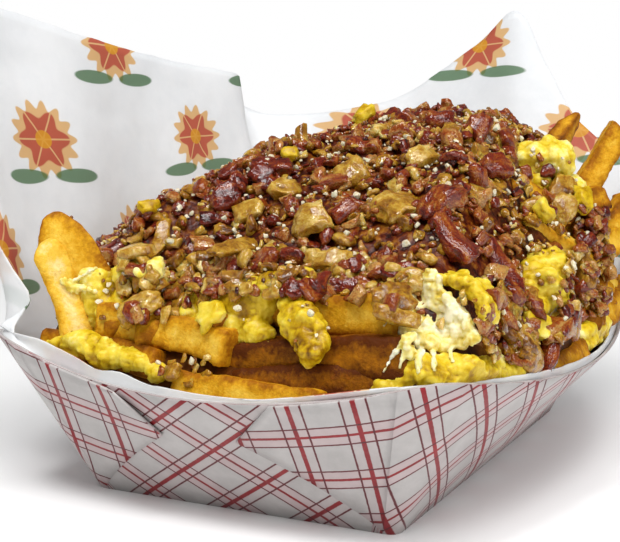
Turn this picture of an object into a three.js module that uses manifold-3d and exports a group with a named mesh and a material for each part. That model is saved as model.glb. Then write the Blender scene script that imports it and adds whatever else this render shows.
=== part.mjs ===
// Breakfast fries in a paperboard food tray with a paper liner.
// Millimetres, +Z up. The origin is the middle of the tray's underside, and the short front wall faces -Y.
import * as THREE from 'three';
import { mergeVertices } from 'three/addons/utils/BufferGeometryUtils.js';
import Module from 'manifold-3d';

// Tray of folded board
const BASE_WIDTH = 95;
const BASE_LENGTH = 152;
const CORNER_HEIGHT = 46;
const SIDE_FLARE = 18;
const END_FLARE = 19;
const SIDE_BOW = 16;
const END_BOW = 6.4;
const SIDE_SAG = 10;
const END_SAG = 9.8;
const BOARD = 0.7;
const CLEARANCE = 0.3;

// The glue flaps of the long walls lie on the outside of the short walls
const FLAP_RIM_END = 0.45;
const FLAP_TIP = 0.21;
const FLAP_TIP_HEIGHT = 0.7;
const FLAP_FOOT = 0.015;
const FLAP_SINK = 0.25;

// Liner of thin paper
const PAPER = 0.5;
const PAPER_INSET = BOARD + CLEARANCE + 0.1;
const PAPER_FLOOR = BOARD + CLEARANCE;
const PAPER_WAVE = 0.05;

// Heap of fries: its highest point is off the middle, and its outline is the tray's rim
const PEAK_X = 28;
const PEAK_Y = 36;
const PEAK_HEIGHT = 110;
const HEAP_INSET = 3;
const HEAP_ROUNDNESS = 2.2;
const HEAP_FULLNESS = 0.9;
const CORE_DEPTH = 5;
const CORE_DEPTH_TOP = 8;
const CORE_FLOOR = 2.1;
const CORE_INSET = 2.7;

// Fries on the sides of the heap that the front doesn't show
const HIDDEN_FRY_COUNT = 12;
const HIDDEN_FRY_DEPTH = 3.5;
const HIDDEN_FRY_REACH = 0.93;

// Chopped bacon and onion spread over the fries
const SPREAD_DEPTH = 2;
const SPREAD_RELIEF = 2.4;
const SPREAD_EDGE = 0.82;
const SPREAD_MIDDLE = 0.12;
const SPREAD_STEPS = 26;
const BIT_COUNT = 30;

// A share of the way out to the rim that is about one millimetre
const ONE_MM_OUT = 1 / 60;

const wasm = await Module();
wasm.setup();

// A repeatable stream of numbers between 0 and 1
function randomStream(seed) {
  let state = seed;
  return () => {
    state = (state + 0x6d2b79f5) | 0;
    let mixed = Math.imul(state ^ (state >>> 15), 1 | state);
    mixed = (mixed + Math.imul(mixed ^ (mixed >>> 7), 61 | mixed)) ^ mixed;
    return ((mixed ^ (mixed >>> 14)) >>> 0) / 4294967296;
  };
}

// Smooth unevenness between -1 and 1
function unevenness(point, wavelength, seed) {
  const k = (2 * Math.PI) / wavelength;
  const alongX = Math.sin(k * point.x + 1.7 * seed + 1.3 * Math.sin(0.7 * k * point.y));
  const alongY = Math.sin(1.1 * k * point.y + 2.9 * seed + 1.1 * Math.sin(0.8 * k * point.z));
  const alongZ = Math.sin(0.9 * k * point.z + 4.1 * seed + 1.2 * Math.sin(0.6 * k * point.x));
  return (alongX + alongY + alongZ) / 3;
}

function vector(x, y, z) {
  return new THREE.Vector3(x, y, z);
}

// A closed skin through rings of the same number of points, with a fan over each end.
// Each square is split along its shorter diagonal, so that both faces of a thin sheet are split alike.
function loft(rings) {
  const count = rings[0].length;
  const points = rings.flat();
  const positions = [];
  const index = [];
  for (const ring of rings) {
    for (const point of ring) {
      positions.push(point.x, point.y, point.z);
    }
  }
  for (let row = 0; row + 1 < rings.length; row++) {
    for (let k = 0; k < count; k++) {
      const a = row * count + k;
      const b = row * count + ((k + 1) % count);
      const [c, d] = [b + count, a + count];
      const alongFirst = points[a].distanceTo(points[c]) <= points[b].distanceTo(points[d]);
      index.push(...(alongFirst ? [a, b, c, a, c, d] : [a, b, d, b, c, d]));
    }
  }
  const addFan = (row, turned) => {
    const middle = vector(0, 0, 0);
    for (const point of rings[row]) {
      middle.addScaledVector(point, 1 / count);
    }
    const centre = positions.length / 3;
    positions.push(middle.x, middle.y, middle.z);
    for (let k = 0; k < count; k++) {
      const a = row * count + k;
      const b = row * count + ((k + 1) % count);
      index.push(...(turned ? [centre, b, a] : [centre, a, b]));
    }
  };
  addFan(0, true);
  addFan(rings.length - 1, false);
  const geometry = new THREE.BufferGeometry();
  geometry.setAttribute('position', new THREE.Float32BufferAttribute(positions, 3));
  geometry.setIndex(index);
  return geometry;
}

// Six times the signed volume, which is negative when the faces point in
function facing(positions, index) {
  const [a, b, c] = [vector(), vector(), vector()];
  let sum = 0;
  for (let i = 0; i < index.length; i += 3) {
    a.fromArray(positions, 3 * index[i]);
    b.fromArray(positions, 3 * index[i + 1]);
    c.fromArray(positions, 3 * index[i + 2]);
    sum += a.dot(b.cross(c));
  }
  return sum;
}

function solid(geometry) {
  const bare = geometry.clone();
  bare.deleteAttribute('normal');
  bare.deleteAttribute('uv');
  const merged = mergeVertices(bare, 1e-4);
  const vertProperties = new Float32Array(merged.attributes.position.array);
  const triVerts = new Uint32Array(merged.index.array);
  if (facing(vertProperties, triVerts) < 0) {
    for (let i = 0; i < triVerts.length; i += 3) {
      [triVerts[i], triVerts[i + 1]] = [triVerts[i + 1], triVerts[i]];
    }
  }
  return new wasm.Manifold(new wasm.Mesh({ numProp: 3, vertProperties, triVerts }));
}

function joined(solids) {
  return solids.reduce((all, next) => all.add(next));
}

// Cutting can leave scraps, and the piece is the largest body
function largest(body) {
  return body.decompose().sort((a, b) => b.volume() - a.volume())[0];
}

function meshOf(name, body, colour, roughness) {
  const { vertProperties, triVerts } = body.getMesh();
  const geometry = new THREE.BufferGeometry();
  geometry.setAttribute('position', new THREE.BufferAttribute(new Float32Array(vertProperties), 3));
  geometry.setIndex(new THREE.BufferAttribute(new Uint32Array(triVerts), 1));
  geometry.computeVertexNormals();
  const material = new THREE.MeshStandardMaterial({ color: colour, roughness, metalness: 0 });
  const mesh = new THREE.Mesh(geometry, material);
  mesh.name = name;
  return mesh;
}

// The four walls in order round the tray: front end, right side, back end, left side
const END_WALL = {
  half: BASE_WIDTH / 2,
  reach: BASE_LENGTH / 2,
  flare: END_FLARE,
  spread: SIDE_FLARE,
  bow: END_BOW,
  sag: END_SAG,
};
const SIDE_WALL = {
  half: BASE_LENGTH / 2,
  reach: BASE_WIDTH / 2,
  flare: SIDE_FLARE,
  spread: END_FLARE,
  bow: SIDE_BOW,
  sag: SIDE_SAG,
};
const WALLS = [END_WALL, SIDE_WALL, END_WALL, SIDE_WALL];
const UP = vector(0, 0, 1);
const FLAT_SHARE = 0.46;

// A straight line up a wall: flat runs from -1 to 1 between the wall's two corner bends
function wallLine(wall, flat, baseCut, rimCut) {
  const { half, reach, flare, spread, bow, sag } = WALLS[wall];
  const across = flat * (1 - rimCut / (half + spread));
  const bulge = 1 - across * across;
  const outward = reach + flare + bow * bulge;
  const base = vector(flat * (half - baseCut), -reach, 0);
  const rim = vector(across * (half + spread), -outward, CORNER_HEIGHT - sag * bulge);
  const turn = (wall * Math.PI) / 2;
  const place = wall + 0.5 + FLAT_SHARE * flat;
  return { base: base.applyAxisAngle(UP, turn), rim: rim.applyAxisAngle(UP, turn), place };
}

function cornerLine(wall, share, baseCut, rimCut) {
  const from = wallLine(wall, 1, baseCut, rimCut);
  const to = wallLine((wall + 1) % 4, -1, baseCut, rimCut);
  const { half, reach, flare, spread } = WALLS[wall];
  const turn = (wall * Math.PI) / 2;
  const baseCorner = vector(half, -reach, 0).applyAxisAngle(UP, turn);
  const rimCorner = vector(half + spread, -(reach + flare), CORNER_HEIGHT).applyAxisAngle(UP, turn);
  const base = new THREE.QuadraticBezierCurve3(from.base, baseCorner, to.base).getPoint(share);
  const rim = new THREE.QuadraticBezierCurve3(from.rim, rimCorner, to.rim).getPoint(share);
  return { base, rim, place: wall + 0.5 + FLAT_SHARE + share * (1 - 2 * FLAT_SHARE) };
}

// Straight lines all round the tray, counterclockwise from the left end of the front wall
function linesRound({ endSteps, sideSteps, cornerSteps, baseCut, rimCut, extra = [] }) {
  const lines = [];
  for (let wall = 0; wall < 4; wall++) {
    const steps = wall % 2 ? sideSteps : endSteps;
    const flats = Array.from({ length: steps + 1 }, (_, i) => (2 * i) / steps - 1);
    flats.push(...extra.filter((one) => one.wall === wall).map((one) => one.flat));
    flats.sort((a, b) => a - b);
    for (const flat of flats) {
      lines.push(wallLine(wall, flat, baseCut, rimCut));
    }
    for (let i = 1; i < cornerSteps; i++) {
      lines.push(cornerLine(wall, i / cornerSteps, baseCut, rimCut));
    }
  }
  return lines;
}

// One ring of a wall skin: height is 0 at the base and 1 at the rim, and inset is measured into the wall
function wallRing(lines, height, inset) {
  const at = (line) => line.base.clone().lerp(line.rim, height);
  return lines.map((line, k) => {
    const before = at(lines[(k + lines.length - 1) % lines.length]);
    const after = at(lines[(k + 1) % lines.length]);
    const outward = after.sub(before).cross(line.rim.clone().sub(line.base)).normalize();
    return at(line).addScaledVector(outward, -inset);
  });
}

// Tray
const TRAY_LINES = {
  endSteps: 8,
  sideSteps: 12,
  cornerSteps: 4,
  baseCut: 4,
  rimCut: 10,
  extra: [
    { wall: 0, flat: -0.88 },
    { wall: 2, flat: -0.24 },
    { wall: 3, flat: -0.92 },
    { wall: 3, flat: 0.88 },
    { wall: 3, flat: 0.94 },
  ],
};

function level(ring, z) {
  return ring.map((point) => vector(point.x, point.y, z));
}

// Point on the outside of a wall, moved out of the wall by a distance
function onWall(wall, flat, height, out) {
  const line = wallLine(wall, flat, TRAY_LINES.baseCut, TRAY_LINES.rimCut);
  const beside = wallLine(wall, flat + 0.01, TRAY_LINES.baseCut, TRAY_LINES.rimCut);
  const point = line.base.clone().lerp(line.rim, height);
  const along = beside.base.lerp(beside.rim, height).sub(point);
  const outward = along.cross(line.rim.clone().sub(line.base)).normalize();
  return point.addScaledVector(outward, out);
}

// One flap, from the wall's corner to its slanting end: side is -1 at the left corner and 1 at the right
function flap(wall, side) {
  const steps = 4;
  const between = (from, to, share) => from.map((value, i) => value + (to[i] - value) * share);
  const sections = [];
  for (let i = 0; i <= steps; i++) {
    const low = between([side, FLAP_FOOT], [side * FLAP_TIP, FLAP_TIP_HEIGHT], i / steps);
    const high = between([side, 1], [side * FLAP_RIM_END, 1], i / steps);
    const up = [low, between(low, high, 0.5), high];
    const rise = BOARD * Math.min(1, (2 * i) / steps);
    const outer = up.map(([flat, height]) => onWall(wall, flat, height, rise));
    const inner = up.map(([flat, height]) => onWall(wall, flat, height, -FLAP_SINK));
    sections.push([...outer, ...inner.reverse()]);
  }
  return solid(loft(sections));
}

function tray() {
  const lines = linesRound(TRAY_LINES);
  const outer = [0, 0.5, 1].map((height) => wallRing(lines, height, 0));
  const inner = [1, 0.5].map((height) => wallRing(lines, height, BOARD));
  const floor = level(wallRing(lines, BOARD / CORNER_HEIGHT, BOARD), BOARD);
  const shell = solid(loft([...outer, ...inner, floor]));
  const flaps = [];
  for (const wall of [0, 2]) {
    flaps.push(flap(wall, -1), flap(wall, 1));
  }
  return largest(joined([shell, ...flaps]));
}

// Top edge of the liner: one corner of the sheet is up at the back, and the long left side stands high.
// Each stop has its place round the tray, and either a point of its own or a rise above the rim.
const LINER_STOPS = [
  { place: 0.02, at: [-63, -95, 53] },
  { place: 0.07, at: [-59.5, -98, 56] },
  { place: 0.13, at: [-52, -98.5, 59] },
  { place: 0.2, at: [-44, -99.5, 49] },
  { place: 0.28, rise: 3 },
  { place: 0.45, rise: 2 },
  { place: 0.65, rise: 1.2 },
  { place: 0.96, rise: 1.2 },
  { place: 1.1, rise: 1.2 },
  { place: 1.35, rise: 2 },
  { place: 1.6, rise: 2.5 },
  { place: 1.78, rise: 9 },
  { place: 1.92, at: [72, 94, 76] },
  { place: 2.0, at: [67, 108, 86] },
  { place: 2.1, at: [55, 115, 97] },
  { place: 2.2, at: [42, 119, 108] },
  { place: 2.3, at: [29, 122.5, 129] },
  { place: 2.39, at: [16, 125, 150] },
  { place: 2.5, at: [2, 125.5, 139] },
  { place: 2.62, at: [-16, 125, 126.5] },
  { place: 2.75, at: [-33, 125, 116.5] },
  { place: 2.87, at: [-56, 124, 111] },
  { place: 2.96, at: [-82, 121.5, 108.5] },
  { place: 3.0, at: [-97, 117, 109] },
  { place: 3.04, at: [-103, 107, 113.5] },
  { place: 3.08, at: [-98, 98, 120.5] },
  { place: 3.13, at: [-92.5, 89, 124.5] },
  { place: 3.3, at: [-96, 48, 128.5] },
  { place: 3.5, at: [-98, 8, 133] },
  { place: 3.7, at: [-97, -45, 140] },
  { place: 3.86, at: [-96, -76, 144.5] },
  { place: 3.905, at: [-95, -84, 145] },
  { place: 3.935, at: [-81, -87, 113] },
  { place: 3.96, at: [-69, -89, 85] },
  { place: 3.98, at: [-62, -90.5, 66] },
];

function linerTop(lines, rimRing) {
  const stops = LINER_STOPS.map(({ place, at, rise }) => {
    if (at) {
      return { place, point: vector(...at) };
    }
    const gap = (line) => Math.abs(line.place - place);
    const nearest = lines.reduce((best, line, k) => (gap(line) < gap(lines[best]) ? k : best), 0);
    return { place, point: rimRing[nearest].clone().add(vector(0, 0, rise)) };
  });
  const curve = new THREE.CatmullRomCurve3(stops.map((stop) => stop.point), true, 'centripetal');
  return lines.map((line) => {
    let k = stops.findLastIndex((stop) => stop.place <= line.place);
    k = k < 0 ? stops.length - 1 : k;
    const from = stops[k].place;
    const span = (stops[(k + 1) % stops.length].place - from + 4) % 4;
    const share = ((line.place - from + 4) % 4) / span;
    return curve.getPoint(((k + share) / stops.length) % 1);
  });
}

// Outward direction of each point of a grid of rings
function outwardOf(rings) {
  const count = rings[0].length;
  return rings.map((ring, row) => ring.map((point, k) => {
    const around = ring[(k + 1) % count].clone().sub(ring[(k + count - 1) % count]);
    const above = rings[Math.min(row + 1, rings.length - 1)][k];
    const below = rings[Math.max(row - 1, 0)][k];
    return around.cross(above.clone().sub(below)).normalize();
  }));
}

// grow makes the same sheet thicker on every side, as a tool that leaves a gap round it
function liner(grow) {
  const lines = linesRound(TRAY_LINES);
  const wall = [0.02, 0.5, 0.98].map((height) => wallRing(lines, height, PAPER_INSET));
  const rim = wall[wall.length - 1];
  const top = linerTop(lines, rim);
  const above = [0.22, 0.46, 0.72, 1].map((share) => rim.map((point, k) => {
    const rise = top[k].z - point.z;
    const inward = vector(-top[k].x, -top[k].y, 0).normalize();
    const wave = PAPER_WAVE * rise * Math.sin(Math.PI * share) * (0.6 + unevenness(top[k], 90, 3));
    const raised = vector(0, 0, share === 1 ? grow : 0);
    return point.clone().lerp(top[k], share).addScaledVector(inward, wave).add(raised);
  }));
  const rings = [...wall, ...above];
  const outward = outwardOf(rings);
  const moved = (out) => rings.map((ring, row) => {
    return ring.map((point, k) => point.clone().addScaledVector(outward[row][k], out));
  });
  const outer = moved(grow);
  const inner = moved(-PAPER - grow);
  outer[0] = level(outer[0], PAPER_FLOOR - grow);
  inner[0] = level(inner[0], PAPER_FLOOR + PAPER + grow);
  return solid(loft([...outer, ...inner.reverse()]));
}

// Heap
const CORE_LINES = { endSteps: 6, sideSteps: 8, cornerSteps: 3, baseCut: 10, rimCut: 16 };
const coreLines = linesRound(CORE_LINES);
const heapOutline = wallRing(coreLines, 1, HEAP_INSET);
const heapReach = heapOutline.map((point) => {
  const across = vector(point.x - PEAK_X, point.y - PEAK_Y, 0);
  return { angle: Math.atan2(across.y, across.x), reach: across.length(), edge: point.z };
}).sort((a, b) => a.angle - b.angle);

// Outline of the heap in one direction from its peak
function heapEdge(angle) {
  const last = heapReach.length - 1;
  const k = heapReach.findLastIndex((one) => one.angle <= angle);
  const from = heapReach[k < 0 ? last : k];
  const to = heapReach[(k + 1) % heapReach.length];
  const turn = 2 * Math.PI;
  const share = ((angle - from.angle + turn) % turn) / ((to.angle - from.angle + turn) % turn);
  const reach = THREE.MathUtils.lerp(from.reach, to.reach, share);
  const edge = THREE.MathUtils.lerp(from.edge, to.edge, share);
  return { reach, edge };
}

function heapHeight(x, y) {
  const { reach, edge } = heapEdge(Math.atan2(y - PEAK_Y, x - PEAK_X));
  const out = Math.min(1, Math.hypot(x - PEAK_X, y - PEAK_Y) / reach);
  const fullness = (1 - out ** HEAP_ROUNDNESS) ** HEAP_FULLNESS;
  return THREE.MathUtils.lerp(edge - 2, PEAK_HEIGHT, fullness);
}

// Point on the heap at a share of the way out from the peak
function heapPoint(angle, out, drop) {
  const { reach } = heapEdge(angle);
  const x = PEAK_X + Math.cos(angle) * reach * out;
  const y = PEAK_Y + Math.sin(angle) * reach * out;
  return vector(x, y, heapHeight(x, y) - drop);
}

function core(grow) {
  const rings = [level(wallRing(coreLines, 0.03, CORE_INSET), CORE_FLOOR)];
  for (const height of [0.45, 0.85]) {
    rings.push(wallRing(coreLines, height, CORE_INSET));
  }
  for (const out of [0.93, 0.84, 0.7, 0.5, 0.25]) {
    const depth = out > 0.8 ? CORE_DEPTH : CORE_DEPTH_TOP;
    rings.push(heapOutline.map((point) => {
      const angle = Math.atan2(point.y - PEAK_Y, point.x - PEAK_X);
      return heapPoint(angle, out + grow * ONE_MM_OUT, depth - grow * 1.5);
    }));
  }
  return solid(loft(rings));
}

// A fry is a bar cut square from a potato, with worn edges, blunt ends and a slight bend.
// Its stations are shares of its length, each with the fry's thickness there.
const FRY_STATIONS = [[0, 0.72], [0.1, 1], [0.55, 1.03], [1, 0.8]];
const FRY_CORNER_REACH = 1.25;

function fry({ from, to, width, bend = 0.05, twist = 0.3, worn = true }, grow) {
  const start = vector(...from);
  const along = vector(...to).sub(start);
  const length = along.length();
  along.normalize();
  const side = along.clone().cross(UP).normalize();
  const top = side.clone().cross(along);
  const rings = FRY_STATIONS.map(([share, scale]) => {
    const end = share === 0 ? -grow : share === 1 ? grow : 0;
    const middle = start.clone().addScaledVector(along, share * length + end);
    middle.addScaledVector(side, bend * length * Math.sin(Math.PI * share));
    const reach = (width / 2) * FRY_CORNER_REACH * scale + grow;
    return Array.from({ length: worn ? 8 : 4 }, (_, i) => {
      const quarter = worn ? Math.floor(i / 2) : i;
      const edge = worn ? (i % 2 ? 0.3 : -0.3) : 0;
      const angle = twist + (Math.PI / 2) * quarter + edge + Math.PI / 4;
      const corner = middle.clone().addScaledVector(side, reach * Math.cos(angle));
      return corner.addScaledVector(top, reach * Math.sin(angle));
    });
  });
  return solid(loft(rings));
}

// Fries that stand out of the heap, by their two ends: what lies over the heap makes room for them
const STANDING_FRIES = [
  { from: [-46, -87, 42], to: [-53, -85, 73], width: 9.5, bend: 0.03 },
  { from: [-55, -82, 77], to: [-38, -75, 56], width: 12.5, bend: -0.05, twist: 0.6 },
  { from: [57, 28, 64], to: [75.5, 47, 104], width: 9, bend: 0.02 },
  { from: [40, 38, 87], to: [60.5, 60, 107], width: 8, bend: -0.03 },
  { from: [64, 26, 58], to: [81, 46, 80], width: 9, bend: 0.04 },
];

// Fries that show at the front
const SHOWN_FRIES = [
  { from: [-30, -85, 52], to: [12, -87, 49], width: 9.5, bend: -0.04 },
  { from: [20, -78, 54], to: [52, -79, 58], width: 9.5, bend: 0.03 },
  { from: [-2, -88, 44], to: [54, -86, 50], width: 9, bend: 0.02 },
  { from: [-52, -89, 45], to: [-16, -92, 43], width: 8.5, bend: 0.04 },
  { from: [-8, -94, 37], to: [36, -94.5, 37], width: 8, bend: 0.02 },
  { from: [10, -90, 41], to: [56, -88, 43], width: 8, bend: -0.03 },
  { from: [72, 0, 47], to: [74, 40, 50], width: 8.5, bend: 0.04 },
  { from: [68, -56, 44], to: [73, -16, 46], width: 8.5, bend: -0.04 },
];

// One of the fries on the sides that the front doesn't show, across and along the slope by turns
function hiddenFry(index, random) {
  const angle = THREE.MathUtils.degToRad(-8 + (246 * (index + 0.3 * random())) / HIDDEN_FRY_COUNT);
  const out = index % 2 ? 0.92 : 0.86;
  const middle = heapPoint(angle, out, HIDDEN_FRY_DEPTH);
  const step = 0.02;
  const outline = heapPoint(angle + step, out, 0).sub(heapPoint(angle - step, out, 0)).normalize();
  const downhill = heapPoint(angle, out + step, 0).sub(heapPoint(angle, out - step, 0)).normalize();
  const slant = (index % 2 ? 0.5 : 1.2) * (random() - 0.5);
  const along = outline.multiplyScalar(Math.cos(slant)).addScaledVector(downhill, Math.sin(slant));
  const half = 16 + 14 * random();
  const ends = [-half, half].map((reach) => {
    const end = middle.clone().addScaledVector(along, reach);
    const bearing = Math.atan2(end.y - PEAK_Y, end.x - PEAK_X);
    const share = Math.hypot(end.x - PEAK_X, end.y - PEAK_Y) / heapEdge(bearing).reach;
    return share > HIDDEN_FRY_REACH ? heapPoint(bearing, HIDDEN_FRY_REACH, HIDDEN_FRY_DEPTH) : end;
  });
  const [from, to] = ends.map((end) => end.toArray());
  return { from, to, width: 8 + 2 * random(), bend: 0.12 * (random() - 0.5), worn: false };
}

// A soft lump: a ball stretched to three half sizes, turned, tilted and made uneven
function lump({ at, size, turn = 0, tilt = 0, seed = 1, detail = 2, rough = 0.16 }, grow) {
  const geometry = new THREE.IcosahedronGeometry(1, detail);
  geometry.deleteAttribute('normal');
  geometry.deleteAttribute('uv');
  const ball = mergeVertices(geometry, 1e-4);
  const position = ball.attributes.position;
  const half = vector(...size);
  const placed = new THREE.Matrix4().makeRotationFromEuler(new THREE.Euler(tilt, 0, turn, 'ZXY'));
  placed.setPosition(...at);
  for (let i = 0; i < position.count; i++) {
    const point = vector().fromBufferAttribute(position, i);
    const swell = 1 + rough * unevenness(point, 1.5, seed);
    point.multiplyScalar(swell).multiply(half.clone().addScalar(grow * 1.2));
    position.setXYZ(i, ...point.applyMatrix4(placed));
  }
  return solid(ball);
}

// Scrambled egg in soft folds
const EGG_CURDS = {
  egg_left: [
    { at: [-37, -80, 56], size: [8, 6, 10], seed: 2 },
    { at: [-31, -78, 64], size: [8, 6, 6], seed: 5, detail: 1 },
  ],
  egg_front_left: [{ at: [-36, -92, 46.5], size: [18, 5, 4.5], turn: -0.05, seed: 3 }],
  egg_middle: [{ at: [2, -82, 58], size: [13, 7, 8], seed: 4 }],
  egg_drip: [
    { at: [22, -85, 55], size: [5, 5, 12], tilt: 0.25, seed: 6 },
    { at: [17, -78, 65], size: [8, 6, 5], seed: 7, detail: 1 },
  ],
  egg_front_right: [
    { at: [54, -86, 46], size: [11, 6, 6], turn: 0.3, seed: 8, detail: 1 },
    { at: [66, -67, 46], size: [13, 5.5, 6.5], turn: 1.35, seed: 9 },
  ],
  egg_arch: [{ at: [61, -66, 63], size: [10, 6, 6], turn: 0.9, seed: 10 }],
  egg_right: [{ at: [70, -22, 60], size: [8, 15, 9], seed: 11 }],
  egg_right_rim: [{ at: [74.5, 10, 43.5], size: [6, 11, 7], seed: 12 }],
  egg_back_right: [
    { at: [57, 22, 91], size: [13, 12, 10], seed: 13 },
    { at: [66, 28, 78], size: [7, 9, 10], seed: 14, detail: 1 },
  ],
  egg_back_left: [{ at: [-48, 30, 70], size: [12, 15, 7], turn: 0.4, seed: 15, detail: 1 }],
  egg_back: [{ at: [6, 82, 74], size: [14, 9, 7], turn: 0.2, seed: 16, detail: 1 }],
};

// White cheese melted over the egg near the front right corner, with strings that hang from it
const MELTED_CHEESE = [
  { at: [55, -78, 62], size: [9, 7, 7], turn: 0.6, seed: 21, detail: 1 },
  { at: [60, -77, 56], size: [11, 5, 7], turn: 0.75, seed: 22, detail: 1 },
];

// Big pieces of bacon and onion that show among the small ones: half sizes, turned about the vertical
const BIG_BITS = [
  { at: [52, -50, 83], size: [5, 3, 9], turn: 0.6, tilt: -0.9, seed: 31 },
  { at: [56, -60, 74], size: [5, 3, 8], turn: 0.6, tilt: -0.8, seed: 32 },
  { at: [36, -52, 81], size: [9, 4, 6.5], turn: 0.2, tilt: -0.6, seed: 33 },
  { at: [14, -58, 77], size: [7, 3.5, 5.5], turn: -0.1, tilt: -0.6, seed: 34 },
  { at: [33, -75, 63], size: [10, 3, 2.6], turn: 0.05, tilt: 0, seed: 35 },
  { at: [43, -71, 67], size: [7, 3, 2.4], turn: 0.2, tilt: 0, seed: 36 },
  { at: [51, -74, 64], size: [5, 4, 4], turn: 0.3, tilt: 0, seed: 37 },
  { at: [46, -20, 97], size: [6, 5, 3], turn: 0.9, tilt: 0.2, seed: 39 },
];

// Share of the way out to the rim that the spread covers: it reaches further at the front and the right
function spreadEdge(angle) {
  const frontRight = Math.max(0, Math.cos(angle + 0.8)) ** 2;
  const frontLeft = Math.max(0, Math.cos(angle + 2.1)) ** 4;
  const wavy = 0.03 * Math.sin(5 * angle + 1) + 0.02 * Math.sin(11 * angle + 2);
  return SPREAD_EDGE + 0.06 * frontRight + 0.05 * frontLeft + wavy;
}

// The spread's uneven top from the middle out, its edge, and its underside inside the core
function spread(grow) {
  const turn = (2 * Math.PI) / SPREAD_STEPS;
  const angles = Array.from({ length: SPREAD_STEPS }, (_, i) => i * turn - Math.PI);
  const rings = [SPREAD_MIDDLE, 0.27, 0.42, 0.57, 0.71, 0.84, 0.96].map((share) => angles.map((angle) => {
    const point = heapPoint(angle, spreadEdge(angle) * share, SPREAD_DEPTH);
    return point.add(vector(0, 0, SPREAD_RELIEF * unevenness(point, 21, 4) + grow));
  }));
  const underside = CORE_DEPTH_TOP + 3 + grow;
  const wider = grow * ONE_MM_OUT;
  rings.push(angles.map((angle) => heapPoint(angle, spreadEdge(angle) + wider, CORE_DEPTH - 1)));
  rings.push(angles.map((angle) => heapPoint(angle, spreadEdge(angle) * 0.9, underside)));
  rings.push(angles.map((angle) => heapPoint(angle, SPREAD_MIDDLE, underside)));
  return solid(loft(rings));
}

// Small bits lie evenly over the spread, by a spiral with an even step
function bits(grow) {
  const random = randomStream(11);
  const goldenTurn = Math.PI * (3 - Math.sqrt(5));
  const all = [];
  for (let i = 0; i < BIT_COUNT; i++) {
    const angle = ((i * goldenTurn) % (2 * Math.PI)) - Math.PI;
    const out = spreadEdge(angle) * (0.08 + 0.88 * Math.sqrt((i + 0.5) / BIT_COUNT));
    const at = heapPoint(angle, out, SPREAD_DEPTH - 0.5).toArray();
    const size = [4 + 2.4 * random(), 3.2 + 1.6 * random(), 3 + 1.2 * random()];
    const turn = 6 * random();
    const tilt = 1.5 * random();
    all.push(lump({ at, size, turn, tilt, seed: i, detail: 0, rough: 0.25 }, grow));
  }
  for (const bit of BIG_BITS) {
    all.push(lump({ detail: 1, rough: 0.12, ...bit }, grow));
  }
  return joined(all);
}

function lumps(parts, grow) {
  return joined(parts.map((part) => lump(part, grow)));
}

// Colour and roughness of each material
const BOARD_LOOK = [0xdcd9d6, 0.55];
const PAPER_LOOK = [0xe6e6e2, 0.6];
const EGG_LOOK = [0xe9c62b, 0.5];
const CHEESE_LOOK = [0xf1ecc9, 0.45];
const BACON_LOOK = [0x8a4420, 0.5];
const FRY_LOOK = [0xd6982c, 0.6];

// Each piece is cut back by a slightly larger copy of what it lies against, so that no two share any space
const coreTool = core(CLEARANCE);
const linerTool = liner(CLEARANCE);
const standingTool = joined(STANDING_FRIES.map((one) => fry(one, CLEARANCE)));
const topping = largest(spread(0).add(bits(0)).subtract(coreTool).subtract(standingTool));
let taken = spread(CLEARANCE).add(bits(CLEARANCE)).add(standingTool);

const group = new THREE.Group();
group.add(meshOf('tray', tray(), ...BOARD_LOOK));
group.add(meshOf('liner', liner(0), ...PAPER_LOOK));

function addLumps(name, parts, look) {
  const body = lumps(parts, 0).subtract(coreTool).subtract(linerTool).subtract(taken);
  taken = taken.add(lumps(parts, CLEARANCE));
  group.add(meshOf(name, largest(body), ...look));
}

for (const [name, parts] of Object.entries(EGG_CURDS)) {
  addLumps(name, parts, EGG_LOOK);
}
addLumps('melted_cheese', MELTED_CHEESE, CHEESE_LOOK);
group.add(meshOf('bacon_and_onion', topping, ...BACON_LOOK));

const random = randomStream(5);
const hiddenFries = Array.from({ length: HIDDEN_FRY_COUNT }, (_, i) => hiddenFry(i, random));
const lying = joined([...SHOWN_FRIES, ...hiddenFries].map((one) => fry(one, 0)));
const standing = joined(STANDING_FRIES.map((one) => fry(one, 0)));
const heaped = lying.subtract(taken).add(standing).subtract(linerTool);
group.add(meshOf('fries', largest(core(0).add(heaped)), ...FRY_LOOK));

export default group;
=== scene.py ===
"""Breakfast fries in a plaid paperboard food tray with a paper liner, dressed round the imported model."""
import itertools

import bpy
import numpy as np
from mathutils import Matrix


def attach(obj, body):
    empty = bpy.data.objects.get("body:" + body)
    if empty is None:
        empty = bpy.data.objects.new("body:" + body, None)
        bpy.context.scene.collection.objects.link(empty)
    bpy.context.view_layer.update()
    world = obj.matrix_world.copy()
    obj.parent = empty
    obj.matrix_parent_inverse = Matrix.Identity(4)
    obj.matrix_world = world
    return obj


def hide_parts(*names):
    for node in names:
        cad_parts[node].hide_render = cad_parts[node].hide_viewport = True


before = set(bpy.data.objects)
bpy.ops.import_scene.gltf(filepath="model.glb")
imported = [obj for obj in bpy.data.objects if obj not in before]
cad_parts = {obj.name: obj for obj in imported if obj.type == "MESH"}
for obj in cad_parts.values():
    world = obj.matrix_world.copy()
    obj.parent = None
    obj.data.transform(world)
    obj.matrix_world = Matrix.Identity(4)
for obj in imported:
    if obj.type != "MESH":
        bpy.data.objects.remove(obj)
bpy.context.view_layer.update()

MM = 0.001

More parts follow.
